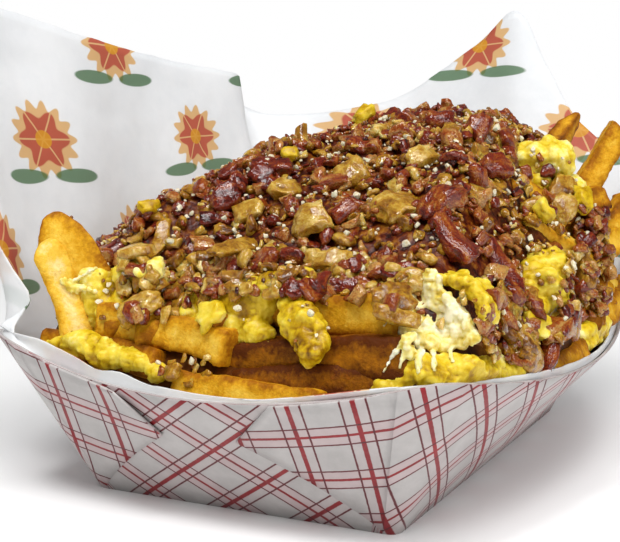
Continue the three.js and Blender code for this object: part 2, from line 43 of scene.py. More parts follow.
# Tray.
# A three pound food tray: one die-cut blank of clay-coated board, printed with red plaid outside, then
# creased and folded. The long walls end in glue flaps, which are stuck to the outside of the short walls.
BASE_WIDTH, BASE_LENGTH, CORNER_HEIGHT = 95.0, 152.0, 46.0
BOARD = 0.7
BASE_CUT, RIM_CUT = 4.0, 10.0
END_WALL = dict(half=BASE_WIDTH / 2, reach=BASE_LENGTH / 2, flare=19.0, spread=18.0, bow=6.4, sag=9.8)
SIDE_WALL = dict(half=BASE_LENGTH / 2, reach=BASE_WIDTH / 2, flare=18.0, spread=19.0, bow=16.0, sag=10.0)
WALLS = [END_WALL, SIDE_WALL, END_WALL, SIDE_WALL]
FLAT_SHARE = 0.46
CORNER_PULL = (2.4, 2.6)

# The plaid: each family of lines has its angle on the blank, its spacing and where it starts, in millimetres.
# A flap carries the print of the long wall that it belongs to, so its lines stand at another angle.
PLAID_PITCH = 17.0
SHORT_WALL_PLAID = [(38.5, 16.1, 2.9), (-41.0, 17.1, 2.75)]
RIGHT_WALL_PLAID = [(-41.0, 17.5, -14.6), (38.0, 16.0, 71.5)]
LEFT_WALL_PLAID = [(45.0, 17.5, -68.4), (-45.0, 17.0, 73.1)]
RIGHT_FLAP_PLAID = [(-90.0, 16.6, 28.0), (6.0, 15.5, 15.2)]
LEFT_FLAP_PLAID = [(84.0, 18.25, 31.9), (-7.5, 16.25, 12.3)]


def turned(points, quarters):
    """Points turned by quarter turns about the vertical."""
    angle = quarters * np.pi / 2
    c, s = round(np.cos(angle)), round(np.sin(angle))
    return points @ np.array([[c, s, 0], [-s, c, 0], [0, 0, 1]], float)


def between(a, b, share):
    """Points that share of the way from a to b."""
    return a + (b - a) * np.asarray(share)[..., None]


def pulled(wall, flat):
    """The front left corner of the rim is pulled out and up a little."""
    side = {0: -1, 3: 1}.get(wall, 0)
    near = max(0.0, 1 - (1 - side * flat) / 0.4) ** 2 * abs(side)
    return near * np.array([side * CORNER_PULL[0], -CORNER_PULL[0], CORNER_PULL[1]])


def wall_line(wall, flat, base_cut=BASE_CUT, rim_cut=RIM_CUT):
    """Foot and rim of the straight line up a wall: flat runs from -1 to 1 between the two corner bends."""
    w = WALLS[wall]
    across = flat * (1 - rim_cut / (w["half"] + w["spread"]))
    bulge = 1 - across * across
    foot = np.array([flat * (w["half"] - base_cut), -w["reach"], 0.0])
    outward = w["reach"] + w["flare"] + w["bow"] * bulge
    rim = np.array([across * (w["half"] + w["spread"]), -outward, CORNER_HEIGHT - w["sag"] * bulge])
    return foot, rim + pulled(wall, flat)


def corner_line(wall, share, base_cut=BASE_CUT, rim_cut=RIM_CUT):
    """Foot and rim of a line up the rounded corner between a wall and the next one."""
    w = WALLS[wall]
    sharp_foot = np.array([w["half"], -w["reach"], 0.0])
    sharp_rim = np.array([w["half"] + w["spread"], -w["reach"] - w["flare"], CORNER_HEIGHT])
    sharp = [sharp_foot, sharp_rim + pulled(wall, 1.0)]
    start = wall_line(wall, 1.0, base_cut, rim_cut)
    end = [turned(p, 1) for p in wall_line((wall + 1) % 4, -1.0, base_cut, rim_cut)]
    return [
        (1 - share) ** 2 * a + 2 * share * (1 - share) * b + share**2 * c
        for a, b, c in zip(start, sharp, end)
    ]


def printed(plaid, flat_points):
    """Distances across the two families of lines, at points of the flat blank, in pitches of the plaid."""
    found = []
    for degrees, spacing, start in plaid:
        angle = np.radians(degrees)
        across = -np.sin(angle) * flat_points[..., 0] + np.cos(angle) * flat_points[..., 1]
        found.append((across - start) / spacing * PLAID_PITCH)
    return np.stack([*found, np.zeros_like(found[0])], -1)


def on_blank(wall, flat, **cuts):
    """The foot and rim of a wall line on the flat blank: along the wall, and up it."""
    foot, rim = wall_line(wall, flat, **cuts)
    return np.array([[foot[0], 0.0], [rim[0], np.hypot(rim[1] - foot[1], rim[2])]])


def whole_pitches(here, wall, after):
    """How far, in whole pitches, the next wall's print is moved to follow on from this one's."""
    sharp = dict(base_cut=0.0, rim_cut=0.0)
    from_ink = printed(here, on_blank(wall, 1.0, **sharp))
    to_ink = printed(after, on_blank((wall + 1) % 4, -1.0, **sharp))
    return np.round((from_ink - to_ink).mean(0) / PLAID_PITCH) * PLAID_PITCH


WALL_PLAIDS = [SHORT_WALL_PLAID, RIGHT_WALL_PLAID, SHORT_WALL_PLAID, LEFT_WALL_PLAID]


def ink_at(wall, flat):
    """The print at the foot and rim of a wall line.
    The ends of a short wall lie under the flaps, and carry the flaps' print."""
    if wall % 2 or abs(flat) < 1:
        return printed(WALL_PLAIDS[wall], on_blank(wall, flat))
    plaid = RIGHT_FLAP_PLAID if flat > 0 else LEFT_FLAP_PLAID
    ink = printed(plaid, on_blank(wall, flat))
    if flat > 0:
        return ink - whole_pitches(plaid, wall, WALL_PLAIDS[(wall + 1) % 4])
    return ink + whole_pitches(WALL_PLAIDS[wall - 1], (wall - 1) % 4, plaid)


def tray_columns(end_steps, side_steps, corner_steps):
    """Lines up the wall all round the tray: foot, rim, and the print at both."""
    columns, places = [], []
    for wall in range(4):
        steps = side_steps if wall % 2 else end_steps
        for flat in np.linspace(-1, 1, steps + 1):
            columns.append([*turned(np.array(wall_line(wall, flat)), wall), *ink_at(wall, flat)])
            places.append(wall + 0.5 + FLAT_SHARE * flat)
        from_ink, to_ink = ink_at(wall, 1.0), ink_at((wall + 1) % 4, -1.0)
        for k in range(1, corner_steps):
            share = k / corner_steps
            line = turned(np.array(corner_line(wall, share)), wall)
            columns.append([*line, *(from_ink + (to_ink - from_ink) * share)])
            places.append(wall + 0.5 + FLAT_SHARE + share * (1 - 2 * FLAT_SHARE))
    return np.array(columns), np.array(places)


def skin(columns, heights, inset):
    """Rings of points round the wall at those heights, 0 at the foot and 1 at the rim, set into the wall."""
    foot, rim = columns[:, 0], columns[:, 1]
    rings = []
    for height in heights:
        ring = between(foot, rim, np.full(len(foot), height))
        around = np.roll(ring, -1, 0) - np.roll(ring, 1, 0)
        outward = np.cross(around, rim - foot)
        outward /= np.linalg.norm(outward, axis=1, keepdims=True)
        rings.append(ring - outward * inset)
    return np.array(rings)


def grid_faces(rows, count, closed=True, start=0):
    """Square faces of a grid of rows of count points, which may close round on itself."""
    k = np.arange(count if closed else count - 1)
    row = np.arange(rows - 1)[:, None] * count + start
    a, b = row + k, row + (k + 1) % count
    return np.stack([a, b, b + count, a + count], -1).reshape(-1, 4)


def make_piece(name, points, faces, attributes=None, smooth=True):
    """A mesh object from points in millimetres. It rides on the object's one body."""
    mesh = bpy.data.meshes.new(name)
    points = np.asarray(points, float)
    corners = [np.asarray(block).ravel() for block in faces]
    sizes = np.concatenate([np.full(len(block), np.shape(block)[1]) for block in faces])
    mesh.vertices.add(len(points))
    mesh.vertices.foreach_set("co", (points * MM).astype(np.float32).ravel())
    mesh.loops.add(sum(map(len, corners)))
    mesh.loops.foreach_set("vertex_index", np.concatenate(corners).astype(np.int32))
    mesh.polygons.add(len(sizes))
    mesh.polygons.foreach_set("loop_start", np.concatenate([[0], np.cumsum(sizes)[:-1]]).astype(np.int32))
    mesh.polygons.foreach_set("use_smooth", np.full(len(sizes), smooth))
    mesh.update(calc_edges=True)
    mesh.validate()
    for key, values in (attributes or {}).items():
        values = np.asarray(values, np.float32)
        kind = "FLOAT" if values.ndim == 1 else "FLOAT_VECTOR"
        layer = mesh.attributes.new(key, kind, "POINT")
        layer.data.foreach_set("value" if values.ndim == 1 else "vector", values.ravel())
    piece = bpy.data.objects.new(name, mesh)
    bpy.context.scene.collection.objects.link(piece)
    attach(piece, "root")
    return piece


def linear(code, alpha=1.0):
    """A colour socket's value from an sRGB hex code."""
    parts = [int(code[i : i + 2], 16) / 255 for i in (1, 3, 5)]
    return (*[c / 12.92 if c <= 0.04045 else ((c + 0.055) / 1.055) ** 2.4 for c in parts], alpha)


def new_material(name):
    """An empty material and its node tree."""
    material = bpy.data.materials.new(name)
    material.use_nodes = True
    material.node_tree.nodes.clear()
    return material, material.node_tree


def add(tree, kind, inputs=None, stops=None, **settings):
    """One shader node: settings are its own, inputs are values or links by name, stops a ramp's colours."""
    made = tree.nodes.new("ShaderNode" + kind)
    for key, value in settings.items():
        setattr(made, key, value)
    for key, value in (inputs or {}).items():
        socket = made.inputs[key]
        if isinstance(value, bpy.types.NodeSocket):
            tree.links.new(value, socket)
        else:
            socket.default_value = linear(value) if isinstance(value, str) else value
    if stops:
        ramp = made.color_ramp.elements
        while len(ramp) < len(stops):
            ramp.new(0.5)
        for element, (place, colour) in zip(ramp, stops):
            element.position = place
            element.color = linear(colour)
    return made


FLAP_SHAPES = [
    # wall, side, rim end, tip, tip height, lift of its loose end in mm
    (0, -1, 0.40, 0.25, 0.66, 1.3),
    (0, 1, 0.42, 0.19, 0.69, 0.15),
    (2, -1, 0.42, 0.21, 0.69, 0.5),
    (2, 1, 0.42, 0.21, 0.69, 0.3),
]
FLAP_FOOT = 0.015


def flap(wall, side, rim_end, tip, tip_height, lift):
    """A glue flap as a thin plate on the short wall: from the corner bend to its slanting end."""
    along, up = 18, 9
    plaid = RIGHT_FLAP_PLAID if side > 0 else LEFT_FLAP_PLAID
    rings, ink = [], []
    for i in np.linspace(0, 1, along):
        low = np.array([side, FLAP_FOOT]) * (1 - i) + np.array([side * tip, tip_height]) * i
        high = np.array([side, 1.0]) * (1 - i) + np.array([side * rim_end, 1.0]) * i
        outer, inner, outer_ink = [], [], []
        for j in np.linspace(0, 1, up):
            flat, height = low * (1 - j) + high * j
            foot, rim = wall_line(wall, flat)
            beside = wall_line(wall, flat + 0.01)
            point = foot + (rim - foot) * height
            across = beside[0] + (beside[1] - beside[0]) * height - point
            outward = np.cross(across, rim - foot)
            outward /= np.linalg.norm(outward)
            loose = lift * max(0.0, (i - 0.55) / 0.45) ** 2 * (0.35 + 0.65 * j)
            rise = BOARD * min(1.0, 3 * i) + loose
            outer.append(point + outward * (rise + 0.02))
            inner.append(point + outward * (loose - 0.25 * (loose == 0)))
            blank = on_blank(wall, flat)
            outer_ink.append(printed(plaid, blank[0] + (blank[1] - blank[0]) * height))
        rings.append(outer + inner[::-1])
        ink.append(outer_ink + [p + [0, 0, 1] for p in outer_ink[::-1]])
    points = turned(np.array(rings).reshape(-1, 3), wall)
    count = 2 * up
    faces = [grid_faces(along, count)]
    half = np.arange(up - 1)
    for end in (0, (along - 1) * count):
        far = end + count - 1 - half
        faces.append(np.stack([end + half, end + half + 1, far - 1, far], -1))
    return points, np.concatenate(faces), np.array(ink).reshape(-1, 3)


columns, _ = tray_columns(24, 36, 10)
ring_size = len(columns)
heights = np.linspace(0, 1, 9)
outer = skin(columns, heights, 0.0)
inner = skin(columns, heights[::-1], BOARD)
inner[-1][:, 2] = BOARD
outer_ink = np.array([columns[:, 2] + (columns[:, 3] - columns[:, 2]) * h for h in heights])
bare = np.zeros((len(heights), ring_size, 3)) + [0, 0, 1]
tray_points = np.concatenate([outer.reshape(-1, 3), inner.reshape(-1, 3)])
tray_ink = np.concatenate([outer_ink.reshape(-1, 3), bare.reshape(-1, 3)])
quads = [grid_faces(2 * len(heights), ring_size)]

# The flat bottom, inside and out, in rings that shrink to the middle
bottom_rings = [0.75, 0.5, 0.25, 0.02]
for z, first in ((0.0, 0), (BOARD, (2 * len(heights) - 1) * ring_size)):
    start = len(tray_points)
    edge = tray_points[first : first + ring_size]
    rings = np.concatenate([edge * [share, share, 0] + [0, 0, z] for share in bottom_rings])
    ink = printed(SHORT_WALL_PLAID, np.stack([rings[:, 0], -BASE_LENGTH / 2 - rings[:, 1]], -1))
    ink[:, 2] = float(z > 0)
    tray_points = np.concatenate([tray_points, rings])
    tray_ink = np.concatenate([tray_ink, ink])
    rows = np.concatenate([np.arange(first, first + ring_size), np.arange(start, len(tray_points))])
    faces = rows[grid_faces(len(bottom_rings) + 1, ring_size)]
    quads.append(faces[:, ::-1] if z == 0 else faces)
for shape in FLAP_SHAPES:
    points, faces, ink = flap(*shape)
    quads.append(faces + len(tray_points))
    tray_points = np.concatenate([tray_points, points])
    tray_ink = np.concatenate([tray_ink, ink])
folded_tray = make_piece("folded_tray", tray_points, [np.concatenate(quads)], {"plaid": tray_ink})
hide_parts("tray")

# Clay-coated paperboard: white, faintly grey and satin outside, where red ink lies in crisp lines
board, tree = new_material("clay_coated_paperboard_printed_plaid")
# In millimetres: half widths of the lines, how far the thin one stands off, and how soft the edges are
WIDE_LINE, THIN_LINE, THIN_LINE_PLACE, INK_EDGE, BAND_EDGE = 0.66, 0.27, 3.35, 0.09, 0.2
plaid = add(tree, "Attribute", attribute_name="plaid").outputs["Vector"]
place = add(tree, "TexCoord").outputs["Object"]
grit = add(tree, "TexNoise", {"Vector": place, "Scale": 900.0, "Detail": 2.0})
ragged = add(tree, "VectorMath", {0: grit.outputs["Color"], 1: (0.5, 0.5, 0.5)}, operation="SUBTRACT")
ragged = add(tree, "VectorMath", {0: ragged.outputs[0], 3: 0.22}, operation="SCALE")
axes = add(tree, "VectorMath", {0: plaid, 1: ragged.outputs[0]}, operation="ADD")
axes = add(tree, "SeparateXYZ", {0: axes.outputs[0]})
ink, fine_ink, tint = 0.0, 0.0, 0.0
for axis, wide, strength in (("X", WIDE_LINE, 0.07), ("Y", WIDE_LINE * 0.72, 0.2)):
    half = PLAID_PITCH / 2
    wrapped = add(tree, "Math", {0: axes.outputs[axis], 1: half, 2: -half}, operation="WRAP")
    off = add(tree, "Math", {0: wrapped.outputs[0]}, operation="ABSOLUTE").outputs[0]
    thin = add(tree, "Math", {0: off, 1: THIN_LINE_PLACE}, operation="SUBTRACT")
    thin = add(tree, "Math", {0: thin.outputs[0]}, operation="ABSOLUTE").outputs[0]
    for distance, width in ((off, wide), (thin, THIN_LINE)):
        span = {"Value": distance, "From Min": width + INK_EDGE, "From Max": width - INK_EDGE}
        line = add(tree, "MapRange", span).outputs[0]
        ink = add(tree, "Math", {0: ink, 1: line}, operation="MAXIMUM").outputs[0]
    fine_ink = add(tree, "Math", {0: fine_ink, 1: line}, operation="MAXIMUM").outputs[0]
    edges = {"From Min": THIN_LINE_PLACE + BAND_EDGE, "From Max": THIN_LINE_PLACE - BAND_EDGE}
    band = add(tree, "MapRange", {"Value": off, **edges, "To Max": strength}).outputs[0]
    tint = add(tree, "Math", {0: tint, 1: band}, operation="MAXIMUM").outputs[0]
inside = add(tree, "Math", {0: 1.0, 1: axes.outputs["Z"]}, operation="SUBTRACT", use_clamp=True).outputs[0]
ink = add(tree, "Math", {0: ink, 1: inside}, operation="MULTIPLY").outputs[0]
tint = add(tree, "Math", {0: tint, 1: inside}, operation="MULTIPLY").outputs[0]
fibre = add(tree, "TexNoise", {"Vector": place, "Scale": 120.0, "Detail": 6.0, "Roughness": 0.65})
ground = add(tree, "ValToRGB", {0: fibre.outputs[0]}, stops=[(0.3, "#A8A4A2"), (0.7, "#BAB6B4")])
tinted = add(tree, "Mix", {0: tint, 6: ground.outputs[0], 7: "#D08A92"}, data_type="RGBA")
red = add(tree, "ValToRGB", {0: fibre.outputs[0]}, stops=[(0.35, "#780C16"), (0.65, "#92141D")])
red = add(tree, "Mix", {0: fine_ink, 6: red.outputs[0], 7: "#560E18"}, data_type="RGBA").outputs[2]
colour = add(tree, "Mix", {0: ink, 6: tinted.outputs[2], 7: red}, data_type="RGBA")
bump = add(tree, "Bump", {"Height": fibre.outputs[0], "Strength": 0.12, "Distance": 0.0004})
shine = add(tree, "MapRange", {"Value": fibre.outputs[0], "To Min": 0.42, "To Max": 0.56})
look = {"Base Color": colour.outputs[2], "Roughness": shine.outputs[0], "Normal": bump.outputs[0], "IOR": 1.5}
shader = add(tree, "BsdfPrincipled", look)
add(tree, "OutputMaterial", {"Surface": shader.outputs[0]})
folded_tray.data.materials.append(board)

# Liner.
# One square of thin dry-waxed deli paper, laid cornerwise in the tray. Its corner stands up at the back, and
# its long left side stands high. It is held only by the food that presses it into the tray.
PAPER = 0.35
PAPER_INSET = BOARD + 0.4
PAPER_FLOOR = BOARD + 0.35
LINER_STOPS = [
    # place round the tray, and the point of the sheet's edge there, or one number: its rise above the rim
    (0.0, (-58.5, -90, 56.5)),
    (0.03, (-62.5, -92, 52)),
    (0.06, (-66, -94, 49)),
    (0.1, 4.5),
    (0.2, 4.2),
    (0.26, 2.8),
    (0.3, 3.8),
    (0.38, 2.4),
    (0.45, 2.0),
    (0.65, 1.2),
    (0.96, 1.2),
    (1.1, 1.2),
    (1.35, 2.0),
    (1.6, 2.5),
    (1.78, 9.0),
    (1.92, (72, 94, 76)),
    (2.0, (67, 108, 86)),
    (2.1, (55, 115, 97)),
    (2.2, (42, 119, 108)),
    (2.3, (29, 122.5, 129)),
    (2.39, (16, 125, 150)),
    (2.5, (2, 125.5, 139)),
    (2.62, (-16, 125, 126.5)),
    (2.75, (-33, 125, 116.5)),
    (2.87, (-56, 124, 111)),
    (2.96, (-82, 121.5, 108.5)),
    (3.0, (-97, 117, 109)),
    (3.04, (-103, 107, 113.5)),
    (3.08, (-98, 98, 120.5)),
    (3.13, (-92.5, 89, 124.5)),
    (3.3, (-96, 48, 128.5)),
    (3.5, (-98, 8, 133)),
    (3.7, (-97, -45, 140)),
    (3.86, (-96, -76, 144.5)),
    (3.905, (-95, -84, 145)),
    (3.93, (-93.5, -86, 100)),
    (3.955, (-77, -88, 80.5)),
    (3.98, (-66.5, -89, 66.5)),
]


def noise(points, size, seed=0, octaves=1):
    """Smooth unevenness, about -1 to 1, with features of that size in millimetres."""
    points = np.asarray(points, float)
    total, weight = np.zeros(len(points)), 1.0
    for octave in range(octaves):
        where = points / size * 2**octave + 31.7 * seed + 5.3 * octave
        cell = np.floor(where).astype(np.int64)
        part = where - cell
        smooth = part**3 * (part * (part * 6 - 15) + 10)
        for corner in itertools.product((0, 1), repeat=3):
            spot = (cell + corner) * [73856093, 19349663, 83492791]
            mixed = spot[:, 0] ^ spot[:, 1] ^ spot[:, 2]
            mixed = ((mixed ^ (mixed >> 13)) * 1274126177) & 0x7FFFFFFF
            mixed = ((mixed ^ (mixed >> 11)) * 69069) & 0xFFFF
            share = np.prod(np.where(corner, smooth, 1 - smooth), 1)
            total += weight * share * (mixed / 32767.5 - 1)
        weight /= 2
    return total


def sheet_edge(places, rim):
    """Top edge of the liner over each line up the wall: a smooth curve through the stops."""
    stops = []
    for place, at in LINER_STOPS:
        if isinstance(at, float):
            at = rim[np.argmin(np.abs(places - place))] + [0, 0, at]
        stops.append(np.array(at, float))
    stops = np.array(stops)
    starts = np.array([place for place, _ in LINER_STOPS])
    count = len(stops)
    edge = []
    for place in np.mod(places, 4):
        k = np.searchsorted(starts, place, side="right") - 1
        span = (starts[(k + 1) % count] - starts[k]) % 4
        share = ((place - starts[k]) % 4) / span
        p0, p1, p2, p3 = (stops[(k + i) % count] for i in (-1, 0, 1, 2))
        d0, d1, d2 = (np.linalg.norm(b - a) ** 0.5 for a, b in ((p0, p1), (p1, p2), (p2, p3)))
        leave = ((p1 - p0) / d0 - (p2 - p0) / (d0 + d1) + (p2 - p1) / d1) * d1
        reach = ((p2 - p1) / d1 - (p3 - p1) / (d1 + d2) + (p3 - p2) / d2) * d1
        s2, s3 = share**2, share**3
        from_here = (2 * s3 - 3 * s2 + 1) * p1 + (s3 - 2 * s2 + share) * leave
        edge.append(from_here + (3 * s2 - 2 * s3) * p2 + (s3 - s2) * reach)
    return np.array(edge)


def waves(points, wavelength, seed):
    """Slow regular waves, as in the solid that this sheet stands for."""
    k = 2 * np.pi / wavelength
    x, y, z = points.T
    along_x = np.sin(k * x + 1.7 * seed + 1.3 * np.sin(0.7 * k * y))
    along_y = np.sin(1.1 * k * y + 2.9 * seed + 1.1 * np.sin(0.8 * k * z))
    along_z = np.sin(0.9 * k * z + 4.1 * seed + 1.2 * np.sin(0.6 * k * x))
    return (along_x + along_y + along_z) / 3


columns, column_places = tray_columns(48, 76, 14)
wall_rows = skin(columns, [0.02, 0.2, 0.4, 0.6, 0.8, 0.98], PAPER_INSET)
rim = wall_rows[-1]
sheet_top = sheet_edge(column_places, rim)
rise = sheet_top[:, 2] - rim[:, 2]
inward = -sheet_top * [1, 1, 0]
inward /= np.linalg.norm(inward, axis=1, keepdims=True)
sheet_rows = list(wall_rows)
for share in np.linspace(0, 1, 34)[1:]:
    belly = 0.05 * rise * np.sin(np.pi * share) * (0.6 + waves(sheet_top, 90, 3))
    sheet_rows.append(between(rim, sheet_top, np.full(len(rim), share)) + inward * belly[:, None])
sheet_rows = np.array(sheet_rows)
row_count, ring_size = sheet_rows.shape[:2]
around = np.roll(sheet_rows, -1, 1) - np.roll(sheet_rows, 1, 1)
above = np.gradient(sheet_rows, axis=0)
outward = np.cross(around, above)
outward /= np.linalg.norm(outward, axis=2, keepdims=True) + 1e-9

# Crumples: broad soft folds that stand up from the rim, and a few sharp creases
along = np.cumsum(np.linalg.norm(np.diff(rim, axis=0, append=rim[:1]), axis=1))
flat_sheet = np.stack(
    [
        np.broadcast_to(along, (row_count, ring_size)),
        np.cumsum(np.linalg.norm(np.diff(sheet_rows, axis=0, prepend=sheet_rows[:1]), axis=2), 0),
        np.zeros((row_count, ring_size)),
    ],
    -1,
)
free = np.clip(np.arange(row_count) - 5, 0, None)[:, None] / (row_count - 6)
tall = np.clip(rise / 30, 0, 1)
flat_list = flat_sheet.reshape(-1, 3)
folds = noise(flat_list * [1, 0.35, 1], 22, 4).reshape(row_count, ring_size)
creases = 1 - np.abs(noise(flat_list * [1, 0.5, 1], 34, 7)).reshape(row_count, ring_size) * 9
fine = noise(flat_list, 6, 9, octaves=2).reshape(row_count, ring_size)
move = tall * np.sin(np.pi * np.clip(free * 0.9 + 0.05, 0, 1)) * (1.1 * folds + 0.5 * np.clip(creases, 0, 1))
move = move + (0.12 + 0.1 * tall) * fine * np.clip(free * 4, 0, 1)
sheet_rows = sheet_rows + outward * move[..., None]
ragged_edge = 0.35 * noise(flat_list, 5, 12).reshape(row_count, ring_size)[-1]
sheet_rows[-1] += np.stack([0 * ragged_edge, 0 * ragged_edge, ragged_edge], -1)
inner_rows = sheet_rows - outward * PAPER
sheet_rows[0][:, 2], inner_rows[0][:, 2] = PAPER_FLOOR, PAPER_FLOOR + PAPER
sheet_points = np.concatenate([sheet_rows.reshape(-1, 3), inner_rows[::-1].reshape(-1, 3)])
sheet_print = np.concatenate([flat_list + [0, 0, 1], flat_sheet[::-1].reshape(-1, 3)])
faces = [grid_faces(2 * row_count, ring_size)]
for z, first in ((PAPER_FLOOR, 0), (PAPER_FLOOR + PAPER, (2 * row_count - 1) * ring_size)):
    start = len(sheet_points)
    edge = sheet_points[first : first + ring_size]
    rings = np.concatenate([edge * [share, share, 0] + [0, 0, z] for share in bottom_rings])
    sheet_points = np.concatenate([sheet_points, rings])
    sheet_print = np.concatenate([sheet_print, rings * [1, 1, 0] + [0, 0, 1]])
    rows = np.concatenate([np.arange(first, first + ring_size), np.arange(start, len(sheet_points))])
    bottom = rows[grid_faces(len(bottom_rings) + 1, ring_size)]
    faces.append(bottom[:, ::-1] if z == PAPER_FLOOR else bottom)
paper_liner = make_piece("paper_liner", sheet_points, [np.concatenate(faces)], {"sheet": sheet_print})
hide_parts("liner")

# Dry-waxed tissue paper: off-white, lets some light through, and has a soft sheen
paper, tree = new_material("dry_waxed_deli_paper")
place = add(tree, "TexCoord").outputs["Object"]
pulp = add(tree, "TexNoise", {"Vector": place, "Scale": 260.0, "Detail": 6.0, "Roughness": 0.7})
mottle = add(tree, "TexNoise", {"Vector": place, "Scale": 22.0, "Detail": 3.0})
tone = add(tree, "Mix", {0: 0.35, 2: mottle.outputs[0], 3: pulp.outputs[0]}, data_type="FLOAT")
ground = add(tree, "ValToRGB", {0: tone.outputs[0]}, stops=[(0.35, "#F0F2F4"), (0.65, "#FAFBFC")])

# Its print, on the side that faces up: rows of a small red flower with a yellow middle and two green leaves
MOTIF_ACROSS, MOTIF_UP = 80.0, 35.0
MOTIF_START_ACROSS, MOTIF_START_UP = 59.0, 11.5
PETALS, PETAL_REACH, PETAL_WAVE = 6.0, 8.4, 1.5
RAYS, RAY_REACH, RAY_WAVE = 14.0, 11.5, 1.5
LEAF_ASIDE, LEAF_DOWN, LEAF_HALF_LENGTH, LEAF_HALF_WIDTH = 10.5, 12.0, 9.0, 2.4
MIDDLE_HALF = 3.0
PRINT_EDGE, OVAL_EDGE = 0.3, 0.12
INK_COVER = 0.85
PRINT_SUMS = [
    # what is worked out, how, and from what, in millimetres on the sheet
    ("row", "MULTIPLY_ADD", "up", 1 / MOTIF_UP, MOTIF_START_UP / MOTIF_UP),
    ("whole_rows", "FLOOR", "row"),
    ("odd_row", "MODULO", "whole_rows", 2.0),
    ("column", "MULTIPLY_ADD", "along", 1 / MOTIF_ACROSS, MOTIF_START_ACROSS / MOTIF_ACROSS),
    ("column", "MULTIPLY_ADD", "odd_row", 0.5, "column"),
    ("x", "FRACT", "column"),
    ("x", "MULTIPLY_ADD", "x", MOTIF_ACROSS, -MOTIF_ACROSS / 2),
    ("y", "FRACT", "row"),
    ("y", "MULTIPLY_ADD", "y", MOTIF_UP, -MOTIF_UP / 2),
    ("turn", "ARCTAN2", "y", "x"),
    ("far", "MULTIPLY", "x", "x"),
    ("far", "MULTIPLY_ADD", "y", "y", "far"),
    ("far", "SQRT", "far"),
    ("petals", "MULTIPLY", "turn", PETALS),
    ("petals", "COSINE", "petals"),
    ("petals", "MULTIPLY_ADD", "petals", PETAL_WAVE, PETAL_REACH),
    ("petals", "SUBTRACT", "petals", "far"),
    ("rays", "MULTIPLY", "turn", RAYS),
    ("rays", "COSINE", "rays"),
    ("rays", "MULTIPLY_ADD", "rays", RAY_WAVE, RAY_REACH),
    ("rays", "SUBTRACT", "rays", "far"),
    ("gap", "MULTIPLY", "turn", PETALS / 2),
    ("gap", "SINE", "gap"),
    ("gap", "ABSOLUTE", "gap"),
    ("gap", "MULTIPLY", "gap", "far"),
    ("aside", "ABSOLUTE", "x"),
    ("aside", "SUBTRACT", "aside", LEAF_ASIDE),
    ("aside", "DIVIDE", "aside", LEAF_HALF_LENGTH),
    ("below", "ADD", "y", LEAF_DOWN),
    ("below", "DIVIDE", "below", LEAF_HALF_WIDTH),
    ("leaves", "MULTIPLY", "aside", "aside"),
    ("leaves", "MULTIPLY_ADD", "below", "below", "leaves"),
    ("middle", "DIVIDE", "far", MIDDLE_HALF),
    ("middle", "MULTIPLY", "middle", "middle"),
]
PRINT_EDGES = [
    # what is drawn, and its value just outside and just inside
    ("petals", -PRINT_EDGE, PRINT_EDGE),
    ("rays", -PRINT_EDGE, PRINT_EDGE),
    ("gap", 0.5, 1.1),
    ("leaves", 1 + OVAL_EDGE, 1 - OVAL_EDGE),
    ("middle", 1 + OVAL_EDGE, 1 - OVAL_EDGE),
]
sheet = add(tree, "Attribute", attribute_name="sheet").outputs["Vector"]
sheet = add(tree, "SeparateXYZ", {0: sheet}).outputs
drawn = {"along": sheet["X"], "up": sheet["Y"], "underside": sheet["Z"]}
for name, operation, *values in PRINT_SUMS:
    inputs = {k: drawn.get(value, value) for k, value in enumerate(values)}
    drawn[name] = add(tree, "Math", inputs, operation=operation).outputs[0]
for name, outside, within in PRINT_EDGES:
    span = {"Value": drawn[name], "From Min": outside, "From Max": within}
    drawn[name] = add(tree, "MapRange", span).outputs[0]
petals = {0: drawn["petals"], 1: drawn["gap"]}
drawn["petals"] = add(tree, "Math", petals, operation="MULTIPLY").outputs[0]
top_side = {0: 1.0, 1: drawn["underside"]}
top_side = add(tree, "Math", top_side, operation="SUBTRACT", use_clamp=True).outputs[0]
printed_paper = ground.outputs[0]
for name, code in (("rays", "#E6B566"), ("leaves", "#4C7B48"), ("petals", "#C24A40"), ("middle", "#E3A62B")):
    amount = add(tree, "Math", {0: drawn[name], 1: top_side}, operation="MULTIPLY").outputs[0]
    amount = add(tree, "Math", {0: amount, 1: INK_COVER}, operation="MULTIPLY").outputs[0]
    printed_paper = add(tree, "Mix", {0: amount, 6: printed_paper, 7: code}, data_type="RGBA").outputs[2]
bump = add(tree, "Bump", {"Height": pulp.outputs[0], "Strength": 0.18, "Distance": 0.0003})
look = {
    "Base Color": printed_paper,
    "Roughness": 0.5,
    "Normal": bump.outputs[0],
    "IOR": 1.45,
}
shader = add(tree, "BsdfPrincipled", look)
glow = add(tree, "BsdfTranslucent", {"Color": printed_paper, "Normal": bump.outputs[0]})
sheer = add(tree, "MixShader", {0: 0.4, 1: shader.outputs[0], 2: glow.outputs[0]})
add(tree, "OutputMaterial", {"Surface": sheer.outputs[0]})
paper_liner.data.materials.append(paper)


# Fries.
# Potatoes cut into bars 8 to 11 mm thick, with a few wedges, dusted with seasoning and deep-fried: mealy and
# golden on their faces, browned and crisp along their edges. They fill the tray in a loose heap and only
# rest there.
PEAK = np.array([28.0, 36.0])
PEAK_HEIGHT = 110.0
HEAP_INSET, HEAP_ROUNDNESS, HEAP_FULLNESS = 3.0, 2.2, 0.9
heap_columns, _ = tray_columns(24, 36, 10)
heap_outline = skin(heap_columns, [1.0], HEAP_INSET)[0]
outline_angles = np.arctan2(heap_outline[:, 1] - PEAK[1], heap_outline[:, 0] - PEAK[0])
by_angle = np.argsort(outline_angles)
edge_angles = outline_angles[by_angle]
edge_reach = np.linalg.norm(heap_outline[:, :2] - PEAK, axis=1)[by_angle]
edge_rise = heap_outline[by_angle, 2]


